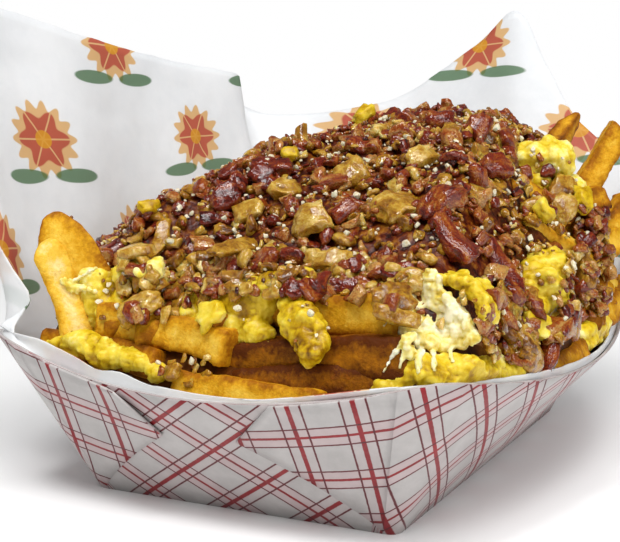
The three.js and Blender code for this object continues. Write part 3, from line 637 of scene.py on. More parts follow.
def heap_edge(angle):
    """How far the heap reaches from its peak in that direction, and how high the rim stands there."""
    turn = 2 * np.pi
    reach = np.interp(angle, edge_angles, edge_reach, period=turn)
    return reach, np.interp(angle, edge_angles, edge_rise, period=turn)


def heap_height(x, y):
    """The height of the heap's surface, and the share of the way out to the rim."""
    x, y = np.asarray(x, float) - PEAK[0], np.asarray(y, float) - PEAK[1]
    reach, edge = heap_edge(np.arctan2(y, x))
    out = np.hypot(x, y) / reach
    fullness = (1 - np.clip(out, 0, 1) ** HEAP_ROUNDNESS) ** HEAP_FULLNESS
    return edge - 2 + (PEAK_HEIGHT - edge + 2) * fullness, out


def heap_point(angle, out, drop=0.0):
    """A point of the heap's surface by its direction and share of the way out, or so far under it."""
    angle, out = np.broadcast_arrays(angle, out)
    reach, _ = heap_edge(angle)
    x, y = PEAK[0] + np.cos(angle) * reach * out, PEAK[1] + np.sin(angle) * reach * out
    return np.stack([x, y, heap_height(x, y)[0] - drop], -1)


def keep_inside(points, margin=2.4):
    """Moves back what would lie in the liner or the tray's walls."""
    points = np.array(points, float)
    for axis, wall in ((1, END_WALL), (0, SIDE_WALL)):
        beside = points[:, 1 - axis] / (wall["half"] + wall["spread"])
        bulge = np.clip(1 - beside**2, 0, 1)
        up_wall = np.clip(points[:, 2] / (CORNER_HEIGHT - wall["sag"] * bulge), 0, 1.1)
        limit = wall["reach"] + (wall["flare"] + wall["bow"] * bulge) * up_wall - margin
        points[:, axis] = np.clip(points[:, axis], -limit, limit)
    return points


class Gathered:
    """Meshes of one kind, gathered for one piece, with values for their points."""

    def __init__(self):
        """Starts with nothing gathered."""
        self.points, self.faces, self.values, self.count = [], {}, {}, 0

    def add(self, points, faces, **values):
        """Adds one mesh. A value is one number for all its points, or a list with one for each."""
        for block in faces:
            self.faces.setdefault(np.shape(block)[1], []).append(np.asarray(block) + self.count)
        for key, value in values.items():
            value = np.asarray(value, float)
            whole = np.broadcast_to(value, (len(points), *value.shape[1:]))
            self.values.setdefault(key, []).append(whole)
        self.points.append(points)
        self.count += len(points)

    def piece(self, name, smooth=True):
        """Makes one piece of all that was added."""
        faces = [np.concatenate(blocks) for blocks in self.faces.values()]
        values = {key: np.concatenate(parts) for key, parts in self.values.items()}
        return make_piece(name, np.concatenate(self.points), faces, values, smooth)


# What lies inside the heap, packed too close to tell apart, and dark between the fries that show:
# its dark colour is painted shade for the gaps
BED_DEPTH = 6.0
bed_rings = [skin(heap_columns, [0.06, 0.3, 0.55, 0.8], 2.6)]
for out in (0.94, 0.9, 0.85, 0.8, 0.72, 0.64, 0.56, 0.48, 0.4, 0.32, 0.24, 0.16, 0.08, 0.01):
    bed_rings.append(heap_point(outline_angles, out, BED_DEPTH)[None])
bed_rings = np.concatenate(bed_rings)
bed_rings[0][:, 2] = 2.4
ring_size = bed_rings.shape[1]
bed_points = bed_rings.reshape(-1, 3)
dents = 1.5 * noise(bed_points * [0.4, 1, 1], 9, 21) + 0.7 * noise(bed_points, 4, 22)
corner = np.clip((-46 - bed_points[:, 0]) / 12, 0, 1) * np.clip((-70 - bed_points[:, 1]) / 12, 0, 1)
bed_points[ring_size:, 2] -= np.abs(dents[ring_size:]) + 14 * corner[ring_size:]
bed_points = keep_inside(bed_points, 2.6)
lids = np.stack([np.arange(ring_size)[::-1], np.arange(ring_size) + len(bed_points) - ring_size])
fry_bed = make_piece("fry_bed", bed_points, [grid_faces(len(bed_rings), ring_size), lids])


def fry(start, end, width, bend=0.0, twist=0.3, sides=4, flat=1.0, blunt=0.06, point=0.0, fine=0.8, seed=0):
    """One fry: a bar with a rounded square or three-sided section, blunt ends, a bend and a mealy skin.
    Its start runs out to a point over that share of its length."""
    start, end = np.array(start, float), np.array(end, float)
    length = np.linalg.norm(end - start)
    along = (end - start) / length
    side = np.cross(along, [0.0, 0.0, 1.0] if abs(along[2]) < 0.9 else [0.0, 1.0, 0.0])
    side /= np.linalg.norm(side)
    top = np.cross(side, along)
    steps, around = max(9, int(length / fine)), max(12, int(3.4 * width / fine))
    share = np.linspace(0, 1, steps)
    share = share - 0.09 * np.sin(2 * np.pi * share)
    angle = np.linspace(0, 2 * np.pi, around, endpoint=False)
    quarter = sides * angle / 4
    wear = 8.0 if sides == 4 else 2.6
    reach = (np.abs(np.cos(quarter)) ** wear + np.abs(np.sin(quarter)) ** wear) ** (-1 / wear)
    if sides == 3:
        reach = 0.62 / np.cos((angle % (2 * np.pi / 3)) - np.pi / 3) * 0.82 + 0.2
    edge = (reach - reach.min()) / (reach.max() - reach.min())
    near_end = np.minimum(share, 1 - share) * length
    full = np.clip(near_end / (blunt * width + 0.6), 0, 1)
    size = np.maximum((1 - (1 - full) ** 2.4) ** 0.5, 0.02) * (1 + 0.05 * np.sin(2.3 * np.pi * share + seed))
    if point:
        size *= 0.25 + 0.75 * np.sin(np.pi / 2 * np.clip(share / point, 0, 1))
    turn = angle + twist + 0.3 * (share[:, None] - 0.5) * np.sin(seed)
    to_side = width / 2 * reach * np.cos(turn) * size[:, None]
    to_top = width / 2 * reach * np.sin(turn) * size[:, None] * flat
    slant = 0.35 * np.sin(seed * 1.7) * to_side + 0.3 * np.cos(seed * 2.3) * to_top
    slant = slant * np.sign(share - 0.5)[:, None]
    sideways = (bend * length * np.sin(np.pi * share))[:, None]
    middle = start + along * (share * length)[:, None] + (side * np.cos(seed) + top * np.sin(seed)) * sideways
    points = middle[:, None] + side * to_side[..., None] + top * to_top[..., None]
    points = points + along * (slant * np.clip(1 - near_end / 7, 0, 1)[:, None])[..., None]
    points = points.reshape(-1, 3)
    out = points - np.repeat(middle, around, 0)
    out /= np.linalg.norm(out, axis=1, keepdims=True) + 1e-6
    brown = np.maximum(np.tile(edge, steps), np.repeat(np.clip(1 - near_end / 3, 0, 1), around))
    crust = (0.14 + 0.2 * brown) * noise(points, 1.4, seed + 90)
    rough = 0.4 * noise(points, 8, seed) + 0.26 * noise(points, 3.2, seed + 50) + crust
    points = points + out * (rough * np.repeat(np.clip(size, 0, 1), around))[:, None]
    ends = np.stack([np.arange(around)[::-1], np.arange(around) + (steps - 1) * around])
    return points, [grid_faces(steps, around), ends], brown


FRONT_FRIES = [
    # its two ends, its width and bend, and how dark it is, from about 0 to 1
    dict(start=(-55.5, -86.5, 73), end=(-43.5, -87, 42), width=8.8, bend=0.03, twist=0.6, flat=0.9,
         point=0.15, tone=-0.15),
    dict(start=(-55, -83, 81), end=(-42, -79, 50), width=17.0, twist=2.0, sides=3, point=0.42, tone=0.3),
    dict(start=(57, 28, 62), end=(75.5, 47, 104), width=7.6, bend=0.02, tone=0.4),
    dict(start=(58.5, 58.5, 109), end=(48, 41, 84), width=6.4, bend=-0.03, point=0.3, tone=0.6),
    dict(start=(62, 24, 56), end=(80, 44, 80), width=9.5, bend=0.04, tone=0.5),
    dict(start=(-38, -84.5, 51.5), end=(7, -88, 48), width=10.0, bend=-0.05, twist=0.15, tone=0.28),
    dict(start=(16, -77, 55), end=(51, -79, 58), width=11.0, bend=0.03, twist=0.1, tone=0.38),
    # This long fry lies under the overhanging topping: its dark tone is partly painted shade
    dict(start=(1, -83, 43), end=(55, -85.5, 49), width=11.0, bend=0.02, twist=0.0, tone=1.05),
    dict(start=(-54, -88, 44), end=(-14, -91, 42), width=8.5, bend=0.04, tone=0.6),
    dict(start=(-10, -92, 37), end=(36, -93.5, 36.5), width=9.0, bend=0.02, tone=0.35),
    dict(start=(8, -89, 38), end=(58, -87, 42), width=8.5, bend=-0.03, tone=1.1),
    dict(start=(74, 22, 44), end=(74, 58, 50), width=9.0, bend=0.04, tone=0.5),
    dict(start=(69, -46, 35), end=(75, -2, 37), width=9.0, bend=0.03, tone=0.55),
    dict(start=(66, -58, 44), end=(70, -14, 47), width=9.0, bend=-0.04, tone=0.7),
    dict(start=(68, -10, 46), end=(72, 34, 50), width=9.0, bend=0.03, tone=0.7),
    dict(start=(44, -84, 42), end=(68, -62, 42), width=8.5, bend=0.04, tone=0.8),
    dict(start=(66, 6, 64), end=(78, 44, 70), width=9.0, bend=0.04, tone=0.3),
    dict(start=(58, 0, 72), end=(73, 34, 82), width=8.5, bend=-0.04, tone=0.7),
]
random = np.random.default_rng(4)
fries = Gathered()
for number, one in enumerate(FRONT_FRIES):
    tone = one.pop("tone")
    points, faces, brown = fry(**one, seed=number + 1)
    fries.add(keep_inside(points), faces, brown=brown, tone=tone)
# The rest lie round the edge of the heap and up its bare right back, each pressed into it
edge_places = [(angle, (0.8, 0.93)) for angle in np.arange(-20, 262, 7.5)]
slope_places = [(angle, (0.62, 0.78)) for angle in np.arange(-42, 64, 9.5)]
slope_places += [(angle, (0.44, 0.56)) for angle in np.arange(-30, 50, 13)]
for number, (angle, reaches) in enumerate(edge_places + slope_places):
    angle = np.radians(angle)
    middle = heap_point(angle, random.uniform(*reaches), random.uniform(2.0, 5.0))
    heading = angle + np.pi / 2 + random.normal(0, 0.35)
    half = random.uniform(16, 27)
    step = np.array([np.cos(heading), np.sin(heading), random.normal(0, 0.12)]) * half
    ends = []
    for sign in (-1, 1):
        end = middle + step * sign
        surface, share = heap_height(end[0], end[1])
        if share > 0.93:
            end[:2] = PEAK + (end[:2] - PEAK) * 0.93 / share
            surface, _ = heap_height(end[0], end[1])
        end[2] = np.clip(end[2], surface - 9, surface - 2.5)
        ends.append(end)
    width = random.uniform(8, 10.5)
    bend, twist = random.uniform(-0.05, 0.05), random.uniform(0, 1.5)
    points, faces, brown = fry(*ends, width, bend=bend, twist=twist, fine=1.4, seed=number + 40)
    fries.add(keep_inside(points), faces, brown=brown, tone=random.uniform(0.05, 0.65))
fried_potato = fries.piece("fries_in_heap")
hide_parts("fries")

# Deep-fried potato: a dry crust of fine blisters, golden on the faces, brown on the edges, with seasoning
crust, tree = new_material("deep_fried_potato")
place = add(tree, "TexCoord").outputs["Object"]
brown = add(tree, "Attribute", attribute_name="brown").outputs["Fac"]
tone = add(tree, "Attribute", attribute_name="tone").outputs["Fac"]
patches = add(tree, "TexNoise", {"Vector": place, "Scale": 170.0, "Detail": 4.0, "Roughness": 0.6}).outputs[0]
blister = add(tree, "TexNoise", {"Vector": place, "Scale": 900.0, "Detail": 3.0, "Roughness": 0.6}).outputs[0]
cooked = add(tree, "Math", {0: patches, 1: 0.75, 2: -0.42}, operation="MULTIPLY_ADD").outputs[0]
cooked = add(tree, "Math", {0: brown, 1: 0.3, 2: cooked}, operation="MULTIPLY_ADD").outputs[0]
# Tone darkens a whole fry: how long it fried, and for the fry under the topping also painted shade
cooked = add(tree, "Math", {0: tone, 1: 0.6, 2: cooked}, operation="MULTIPLY_ADD").outputs[0]
cooked = add(tree, "Math", {0: blister, 1: 0.42, 2: cooked}, operation="MULTIPLY_ADD").outputs[0]
golden = [(0.0, "#F0D48C"), (0.22, "#E6BC44"), (0.46, "#D0981A"), (0.7, "#9C6008"), (1.0, "#542604")]
skin_colour = add(tree, "ValToRGB", {0: cooked}, stops=golden).outputs[0]
dust = add(tree, "TexNoise", {"Vector": place, "Scale": 420.0, "Detail": 5.0, "Roughness": 0.75}).outputs[0]
dusted = add(tree, "MapRange", {"Value": dust, "From Min": 0.6, "From Max": 0.74, "To Max": 0.6}).outputs[0]
colour = add(tree, "Mix", {0: dusted, 6: skin_colour, 7: "#A2520C"}, data_type="RGBA").outputs[2]
relief = add(tree, "Math", {0: blister, 1: dust}, operation="ADD").outputs[0]
bump = add(tree, "Bump", {"Height": relief, "Strength": 0.6, "Distance": 0.0006})
look = {
    "Base Color": colour,
    "Roughness": 0.55,
    "Normal": bump.outputs[0],
    "IOR": 1.45,
    "Specular IOR Level": 0.12,
    "Subsurface Weight": 0.12,
    "Subsurface Radius": (0.004, 0.002, 0.0008),
    "Subsurface Scale": 0.5,
}
shader = add(tree, "BsdfPrincipled", look)
add(tree, "OutputMaterial", {"Surface": shader.outputs[0]})
fried_potato.data.materials.append(crust)

# The same potato deep in the heap: brown with grease, and darker still as painted shade for the gaps between
# the fries
deep, tree = new_material("greasy_fried_potato_in_painted_gap_shade")
place = add(tree, "TexCoord").outputs["Object"]
stains = add(tree, "TexNoise", {"Vector": place, "Scale": 130.0, "Detail": 5.0, "Roughness": 0.65}).outputs[0]
colour = add(tree, "ValToRGB", {0: stains}, stops=[(0.3, "#2A1203"), (0.55, "#5A2E06"), (0.75, "#8A5A0A")])
bump = add(tree, "Bump", {"Height": stains, "Strength": 0.7, "Distance": 0.001})
look = {
    "Base Color": colour.outputs[0],
    "Roughness": 0.5,
    "Normal": bump.outputs[0],
    "IOR": 1.45,
    "Specular IOR Level": 0.12,
}
shader = add(tree, "BsdfPrincipled", look)
add(tree, "OutputMaterial", {"Surface": shader.outputs[0]})
fry_bed.data.materials.append(deep)

# The top of the food laid so far, over a fine grid of the table, in millimetres
GRID_STEP = 0.6
GRID_LOW = np.array([-84.0, -114.0])
GRID_COUNT = (285, 405)
GRID_MARGIN = 8
grid_lines = [low + GRID_STEP * np.arange(count) for low, count in zip(GRID_LOW, GRID_COUNT)]
grid_x, grid_y = np.meshgrid(*grid_lines, indexing="ij")
bare_heap, grid_out = heap_height(grid_x, grid_y)
laid = np.where(grid_out < 0.97, bare_heap - BED_DEPTH, 0.0)


def grid_place(x, y):
    """The cell of the height grid that a place is in, kept a few cells clear of the grid's edge."""
    i = np.round((np.asarray(x) - GRID_LOW[0]) / GRID_STEP).astype(int)
    j = np.round((np.asarray(y) - GRID_LOW[1]) / GRID_STEP).astype(int)
    most_i, most_j = GRID_COUNT[0] - 1 - GRID_MARGIN, GRID_COUNT[1] - 1 - GRID_MARGIN
    return np.clip(i, GRID_MARGIN, most_i), np.clip(j, GRID_MARGIN, most_j)


def lies_there(points, faces):
    """Notes what has been laid, by spots all over its square faces."""
    a, b, c, d = (points[faces[:, corner]] for corner in range(4))
    across = np.maximum(np.abs(b - a), np.abs(c - d)).max(1)
    along = np.maximum(np.abs(d - a), np.abs(c - b)).max(1)
    steps = np.ceil(np.clip(np.maximum(across, along) / GRID_STEP, 1, 12)).astype(int)
    for step in np.unique(steps):
        some = steps == step
        for u, v in itertools.product(np.arange(step + 1) / step, repeat=2):
            spots = a[some] * (1 - u) * (1 - v) + b[some] * u * (1 - v)
            spots = spots + c[some] * u * v + d[some] * (1 - u) * v
            np.maximum.at(laid, grid_place(spots[:, 0], spots[:, 1]), spots[:, 2])


lies_there(np.concatenate(fries.points), np.concatenate(fries.faces[4]))

# The photograph's view, and where its line of sight through a pixel meets the food
CAMERA_AT = np.array([159.45, -354.02, 107.66])
CAMERA_YAW, CAMERA_PITCH = np.radians(-26.26), np.radians(7.34)
FOCAL_PIXELS, FRAME_WIDTH, FRAME_HEIGHT = 1200.0, 620.0, 542.0
SIGHT_STEPS = np.arange(240.0, 560.0, 0.3)
STEEPEST = 2.0
ahead = np.array(
    [
        np.cos(CAMERA_PITCH) * np.sin(CAMERA_YAW),
        np.cos(CAMERA_PITCH) * np.cos(CAMERA_YAW),
        -np.sin(CAMERA_PITCH),
    ]
)
right = np.array([np.cos(CAMERA_YAW), -np.sin(CAMERA_YAW), 0.0])
up = np.cross(right, ahead)


def in_photograph(point):
    """The pixel of the photograph where a point shows."""
    away = np.asarray(point, float) - CAMERA_AT
    x, y, depth = away @ right, away @ up, away @ ahead
    return np.array([FRAME_WIDTH / 2 + FOCAL_PIXELS * x / depth, FRAME_HEIGHT / 2 - FOCAL_PIXELS * y / depth])


def inside_outline(x, y, outline):
    """Whether a pixel lies inside an outline, by how often a line from it crosses the outline."""
    crossings = 0
    for (x0, y0), (x1, y1) in zip(outline, outline[1:] + outline[:1]):
        if (y0 > y) != (y1 > y) and x < x0 + (x1 - x0) * (y - y0) / (y1 - y0):
            crossings += 1
    return crossings % 2 == 1


def seen_on_food(x, y):
    """The point of the food behind a pixel of the photograph, and the way that its surface faces there."""
    sight = ahead * FOCAL_PIXELS + right * (x - FRAME_WIDTH / 2) - up * (y - FRAME_HEIGHT / 2)
    points = CAMERA_AT + sight / np.linalg.norm(sight) * SIGHT_STEPS[:, None]
    under = laid[grid_place(points[:, 0], points[:, 1])] > points[:, 2]
    if not under.any():
        return None, None
    spot = points[np.argmax(under)]
    i, j = grid_place(spot[0], spot[1])
    slope_x, slope_y = (np.mean(g) / GRID_STEP for g in np.gradient(laid[i - 3 : i + 4, j - 3 : j + 4]))
    steep = np.hypot(slope_x, slope_y)
    if steep > STEEPEST:
        slope_x, slope_y = slope_x * STEEPEST / steep, slope_y * STEEPEST / steep
    facing = np.array([-slope_x, -slope_y, 1.0])
    return spot, facing / np.linalg.norm(facing)


# Scrambled egg.
# Beaten egg stirred in a pan until it sets in soft folded curds, spooned over the fries: yellow and moist,
# with pits and folds where one curd has set against the next. Its colour carries painted light, paler where
# it bulges, and painted shade, deeper yellow in its folds. It only rests there.
EGG_CURDS = {
    # each stroke of egg: where it starts and ends, its half sizes at both, and the size of its knobs
    "egg_left": [
        ((-42, -82, 62), (-39, -82, 50), (6, 4.5, 5), (7, 5, 4), 2.6),
        ((-34, -79, 64), (-29, -78, 66), (5, 4.5, 4), (4.5, 4, 3.2), 2.0),
        ((-33, -81, 57), (-33, -81, 52), (3.5, 4, 5), (4, 4, 3), 2.2),
    ],
    "egg_front_left": [
        ((-53, -92, 43.5), (-38, -92.5, 45), (2.4, 2, 1.6), (9, 4, 4.4), 1.4),
        ((-36, -93, 45), (-19, -93, 43), (8, 4, 4.4), (4, 3.2, 3), 1.4),
        ((-15, -93.5, 41), (-13, -94, 40.5), (2.6, 2.2, 2.6), (2.4, 2.2, 2), 1.2),
    ],
    "egg_middle": [
        ((-6, -81, 58), (10, -82, 59), (6, 4.5, 6.5), (7, 5, 7), 3.2),
        ((-4, -85, 53), (12, -86, 52), (5, 3, 4), (6, 3, 4), 2.6),
        ((-10, -83, 58), (-10, -84, 55), (2.6, 2.6, 3.4), (2.6, 2.6, 3), 1.8),
    ],
    "egg_drip": [
        ((14, -81, 64.5), (21, -83, 65), (4.6, 5, 3.6), (5, 5, 4), 2.2),
        ((24, -82, 67), (25, -83, 66), (2.6, 3, 3), (2.6, 3, 2.6), 1.6),
        ((23, -87, 60), (27, -91, 56), (5, 4, 4), (5.6, 3.6, 5), 1.8),
        ((27, -91, 56), (31, -93.5, 50.5), (5.6, 3.6, 5), (4.6, 3, 4), 1.6),
        ((31, -91, 57), (34, -93, 52), (1.6, 2.6, 2.6), (1.8, 2.4, 2.6), 1.2),
    ],
    "egg_front_right": [
        ((50, -90, 42.5), (58, -87, 46), (4.5, 3.6, 3.2), (6, 4, 4.6), 1.3),
        ((58, -86, 46), (67, -79, 46), (6, 4, 4.6), (4.5, 5, 4.4), 1.3),
        ((67, -76, 45), (69, -54, 42), (4.5, 6, 4.5), (3.5, 6, 4), 1.3),
    ],
    "egg_right": [
        ((69, -30, 62), (71, -20, 66), (6.5, 6, 6), (6, 7, 5.5), 3.2),
        ((69, -32, 55), (71, -18, 55), (6, 6.5, 5), (6, 7, 5), 2.8),
        ((66, -36, 50.5), (69, -30, 51), (4, 4, 2.8), (4, 4, 2.8), 2.0),
    ],
    "egg_right_rim": [((74.5, 2, 41), (76, 20, 42), (4.4, 6, 5.5), (4, 6, 5), 2.2)],
    "egg_back_right": [
        ((50, 20, 93), (60, 24, 94), (7, 7, 6), (7, 8, 7), 3.4),
        ((50, 16, 87), (57, 17, 86), (5, 5, 4), (5, 5, 4), 1.8),
        ((65, 27, 84), (66, 29, 76), (6, 6, 5), (5.5, 6, 5), 3.0),
    ],
    "egg_back_left": [((-52, 26, 68), (-44, 36, 72), (7, 8, 5), (7, 8, 5.5), 3.0)],
    "egg_back": [((0, 82, 73), (12, 82, 75), (8, 6.5, 5.5), (7, 6, 5), 3.0)],
}
# Some curds are made darker and some paler than the rest: painted shade on the darker, painted light on the
# paler
EGG_SHADES = {"egg_left": 0.14, "egg_drip": -0.14, "egg_right": -0.04, "egg_back_right": 0.2}


def ball(fine):
    """Points on a round ball, and its square faces: a cube with fine squares along each side, blown up."""
    steps = np.linspace(-1, 1, fine + 1)
    u, v = (part.ravel() for part in np.meshgrid(steps, steps, indexing="ij"))
    points, faces = [], []
    corner = np.arange(fine)[:, None] * (fine + 1) + np.arange(fine)
    square = np.stack([corner, corner + fine + 1, corner + fine + 2, corner + 1], -1).reshape(-1, 4)
    for axis in range(3):
        for sign in (-1, 1):
            block = np.zeros((len(u), 3))
            block[:, axis], block[:, (axis + 1) % 3], block[:, (axis + 2) % 3] = sign, u, v
            faces.append((square if sign > 0 else square[:, ::-1]) + len(points) * len(u))
            points.append(block)
    points, faces = np.concatenate(points), np.concatenate(faces)
    _, first, same = np.unique(np.round(points, 6), axis=0, return_index=True, return_inverse=True)
    points, faces = points[first], same.ravel()[faces]
    return points / np.linalg.norm(points, axis=1, keepdims=True), faces


def with_modifiers(piece, *steps):
    """The mesh that a piece gets from those modifiers. The piece itself keeps its mesh."""
    for kind, settings in steps:
        added = piece.modifiers.new(kind.lower(), kind)
        for key, value in settings.items():
            setattr(added, key, value)
    shaped = bpy.data.meshes.new_from_object(piece.evaluated_get(bpy.context.evaluated_depsgraph_get()))
    piece.modifiers.clear()
    return shaped


def mesh_points(mesh):
    """The points of a mesh in millimetres."""
    points = np.zeros(len(mesh.vertices) * 3)
    mesh.vertices.foreach_get("co", points)
    return points.reshape(-1, 3) / MM


def mesh_and_faces(piece):
    """The points of a piece in millimetres, and the corners of its square faces."""
    corners = np.zeros(len(piece.data.loops), int)
    piece.data.loops.foreach_get("vertex_index", corners)
    return mesh_points(piece.data), corners.reshape(-1, 4)


def melted_together(name, lumps, size, relax=2):
    """One closed skin round overlapping balls, given as centre and half sizes; its squares are that size."""
    shape, faces = ball(5)
    soft = Gathered()
    for centre, half in lumps:
        soft.add(shape * half + centre, [faces])
    piece = soft.piece(name)
    rough = piece.data
    skin_over = ("REMESH", dict(mode="VOXEL", voxel_size=size * MM, use_smooth_shade=True))
    piece.data = with_modifiers(piece, skin_over, ("SMOOTH", dict(factor=0.5, iterations=relax)))
    bpy.data.meshes.remove(rough)
    piece.data.name = name
    return piece


def uneven(piece, amounts, seed):
    """Gives a piece rounded lumps with creases between: for each size in mm, how far they stand out."""
    points, normals = mesh_points(piece.data), np.zeros(len(piece.data.vertices) * 3)
    piece.data.vertex_normals.foreach_get("vector", normals)
    move = np.zeros(len(points))
    for k, (size, depth) in enumerate(amounts):
        move += depth * (np.abs(noise(points, size, seed + 10 * k)) * 2 - 0.7)
    points = keep_inside(points + normals.reshape(-1, 3) * move[:, None])
    piece.data.vertices.foreach_set("co", (points * MM).astype(np.float32).ravel())
    piece.data.update()


def bulge(piece, iterations=14):
    """How far each point stands out of the piece's smoothed shape, in mm: below 0 in its pits and folds."""
    smoothed = with_modifiers(piece, ("SMOOTH", dict(factor=0.5, iterations=iterations)))
    away, normals = mesh_points(piece.data) - mesh_points(smoothed), np.zeros(len(piece.data.vertices) * 3)
    piece.data.vertex_normals.foreach_get("vector", normals)
    bpy.data.meshes.remove(smoothed)
    return np.einsum("ij,ij->i", away, normals.reshape(-1, 3))


def give_values(piece, **values):
    """Gives the points of a piece values that its material reads by name."""
    for key, value in values.items():
        layer = piece.data.attributes.new(key, "FLOAT", "POINT")
        layer.data.foreach_set("value", np.asarray(value, np.float32))


def knobbly(strokes, random):
    """Balls that fill a few strokes and stand out of them as knobs."""
    lumps = []
    for start, end, half, half_end, knob in strokes:
        start, end, half, half_end = (np.array(v, float) for v in (start, end, half, half_end))
        steps = max(2, int(np.linalg.norm(end - start) / 3))
        for share in np.linspace(0, 1, steps + 1):
            lumps.append((start + (end - start) * share, (half + (half_end - half) * share) * 0.94))
        mean = (half + half_end) / 2
        skin_area = 8 * (mean[0] * mean[1] + mean[1] * mean[2] + mean[0] * mean[2])
        skin_area += 5 * np.linalg.norm(end - start) * mean.mean()
        for _ in range(int(skin_area / (1.1 * knob) ** 2 / 6)):
            share = random.random()
            away = random.normal(size=3)
            away /= np.linalg.norm(away)
            size = knob * random.uniform(0.5, 1.4)
            size = min(size, 0.8 * mean.min())
            centre = start + (end - start) * share + away * ((half + (half_end - half) * share) - size * 0.9)
            lumps.append((centre, size * random.uniform(0.7, 1.5, 3)))
    return lumps


# Soft-set egg: matt to satin, lets light in a little, painted deeper yellow in its folds as shade
# and cream where it bulges as highlight
egg, tree = new_material("soft_scrambled_egg")
place = add(tree, "TexCoord").outputs["Object"]
stands_out = add(tree, "Attribute", attribute_name="stands_out").outputs["Fac"]
tone = add(tree, "Attribute", attribute_name="tone").outputs["Fac"]
mottle = add(tree, "TexNoise", {"Vector": place, "Scale": 130.0, "Detail": 5.0, "Roughness": 0.66}).outputs[0]
grain = add(tree, "TexNoise", {"Vector": place, "Scale": 1100.0, "Detail": 3.0}).outputs[0]
shade = add(tree, "Math", {0: mottle, 1: 1.7, 2: -0.42}, operation="MULTIPLY_ADD").outputs[0]
# How far the egg stands out paints light on its bulges and shade in its pits and folds
shade = add(tree, "Math", {0: stands_out, 1: 0.6, 2: shade}, operation="MULTIPLY_ADD").outputs[0]
shade = add(tree, "Math", {0: shade, 1: tone}, operation="ADD").outputs[0]
yolk = [(0.0, "#704802"), (0.2, "#A47C04"), (0.42, "#CFAE18"), (0.66, "#E4CC46"), (0.92, "#F4EAA0")]
colour = add(tree, "ValToRGB", {0: shade}, stops=yolk).outputs[0]
bump = add(tree, "Bump", {"Height": grain, "Strength": 0.35, "Distance": 0.0004})
look = {
    "Base Color": colour,
    "Roughness": 0.36,
    "Normal": bump.outputs[0],
    "IOR": 1.4,
    "Specular IOR Level": 0.35,
    "Subsurface Weight": 0.3,
    "Subsurface Radius": (0.004, 0.0028, 0.0008),
    "Subsurface Scale": 0.6,
}
shader = add(tree, "BsdfPrincipled", look)
add(tree, "OutputMaterial", {"Surface": shader.outputs[0]})

ARCH_MIDDLE, ARCH_REACH, ARCH_RISE, ARCH_DEPTH = (60.0, -70.0, 57.5), 10.0, 9.5, 4.5
random = np.random.default_rng(11)
for number, node in enumerate([*EGG_CURDS, "egg_arch"]):
    if node == "egg_arch":
        # A thin curl of egg that stands up like a bridge, hollow beneath
        lumps = []
        for turn in np.linspace(0.05, np.pi * 0.98, 34):
            x, y, z = ARCH_MIDDLE
            c, s = np.cos(turn), np.sin(turn)
            spot = np.array([x - ARCH_REACH * c, y + 3 * c, z + ARCH_RISE * s])
            lumps.append((spot, np.array([1.9, ARCH_DEPTH, 1.9]) * random.uniform(0.85, 1.15, 3)))
            for _ in range(3):
                along, side = random.uniform(-1, 1), random.choice([-1, 1])
                edge = spot + [along, side * ARCH_DEPTH * 0.8, random.uniform(-0.6, 1.4)]
                lumps.append((edge, random.uniform(1.0, 1.9, 3)))
    else:
        lumps = knobbly(EGG_CURDS[node], random)
    curd = melted_together(node.replace("egg_", "scrambled_egg_"), lumps, 0.55)
    uneven(curd, [(8.0, 0.9), (3.4, 0.45), (1.5, 0.2), (0.9, 0.09)], number + 3)
    lies_there(*mesh_and_faces(curd))
    tones = np.full(len(curd.data.vertices), EGG_SHADES.get(node, 0.0))
    give_values(curd, stands_out=np.clip(bulge(curd), -1, 1), tone=tones)
    curd.data.materials.append(egg)
    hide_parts(node)

# Melted cheese.
# Shredded white cheese, scattered over the hot food, which has melted into a creamy froth near the front
# right corner with a few strings that run down over the fries. It sticks to what it lies on.
CHEESE_POOL = [
    # outline of the pool in the photograph, how many blobs it has and their smallest and largest size
    ([(388, 262), (402, 256), (428, 262), (440, 280), (424, 292), (408, 296), (398, 282)], 130, 0.8, 1.7),
    (
        [(400, 290), (436, 284), (450, 300), (466, 318), (478, 340), (446, 350), (420, 344), (400, 330)],
        420,
        0.7,
        1.7,
    ),
    ([(398, 332), (416, 336), (424, 350), (412, 362)], 40, 0.6, 1.1),
    ([(58, 276), (90, 288), (94, 296), (66, 292)], 22, 0.5, 0.9),
]
CHEESE_STRINGS = [
    # ends in the photograph, and the thickness at both
    ((414, 320), (400, 368), 0.9, 0.5),
    ((422, 335), (418, 372), 1.1, 0.6),
    ((432, 338), (434, 370), 1.0, 0.6),
    ((410, 296), (384, 326), 0.7, 0.4),
    ((408, 330), (384, 372), 0.7, 0.4),
    ((446, 340), (452, 362), 0.9, 0.5),
    ((62, 284), (96, 292), 0.6, 0.8),
    ((96, 268), (70, 284), 0.6, 0.5),
]


def spots_in(outline, count, random):
    """That many random pixels inside an outline, each with the point of the food behind it and its facing."""
    low, high = np.min(outline, 0), np.max(outline, 0)
    found = []
    while len(found) < count:
        x, y = random.uniform(low, high)
        if inside_outline(x, y, outline):
            spot, facing = seen_on_food(x, y)
            if spot is None:
                count -= 1
            else:
                found.append((spot, facing))
    return found


lumps = []
for outline, count, smallest, largest in CHEESE_POOL:
    for spot, facing in spots_in(outline, count, random):
        size = random.uniform(smallest, largest)
        lumps.append((spot + facing * size * 0.1, size * random.uniform(0.7, 1.3, 3)))
for start, end, thick, thin in CHEESE_STRINGS:
    for share in np.linspace(0, 1, 26):
        x, y = (a + (b - a) * share for a, b in zip(start, end))
        spot, facing = seen_on_food(x, y)
        if spot is not None:
            lumps.append((spot + facing * 0.3, np.full(3, thick + (thin - thick) * share)))
cheese_pool = melted_together("melted_white_cheese", lumps, 0.42, 1)
uneven(cheese_pool, [(2.4, 0.35), (1.1, 0.25)], 71)
lies_there(*mesh_and_faces(cheese_pool))
give_values(cheese_pool, stands_out=np.clip(bulge(cheese_pool, 8), -1, 1))
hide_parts("melted_cheese")
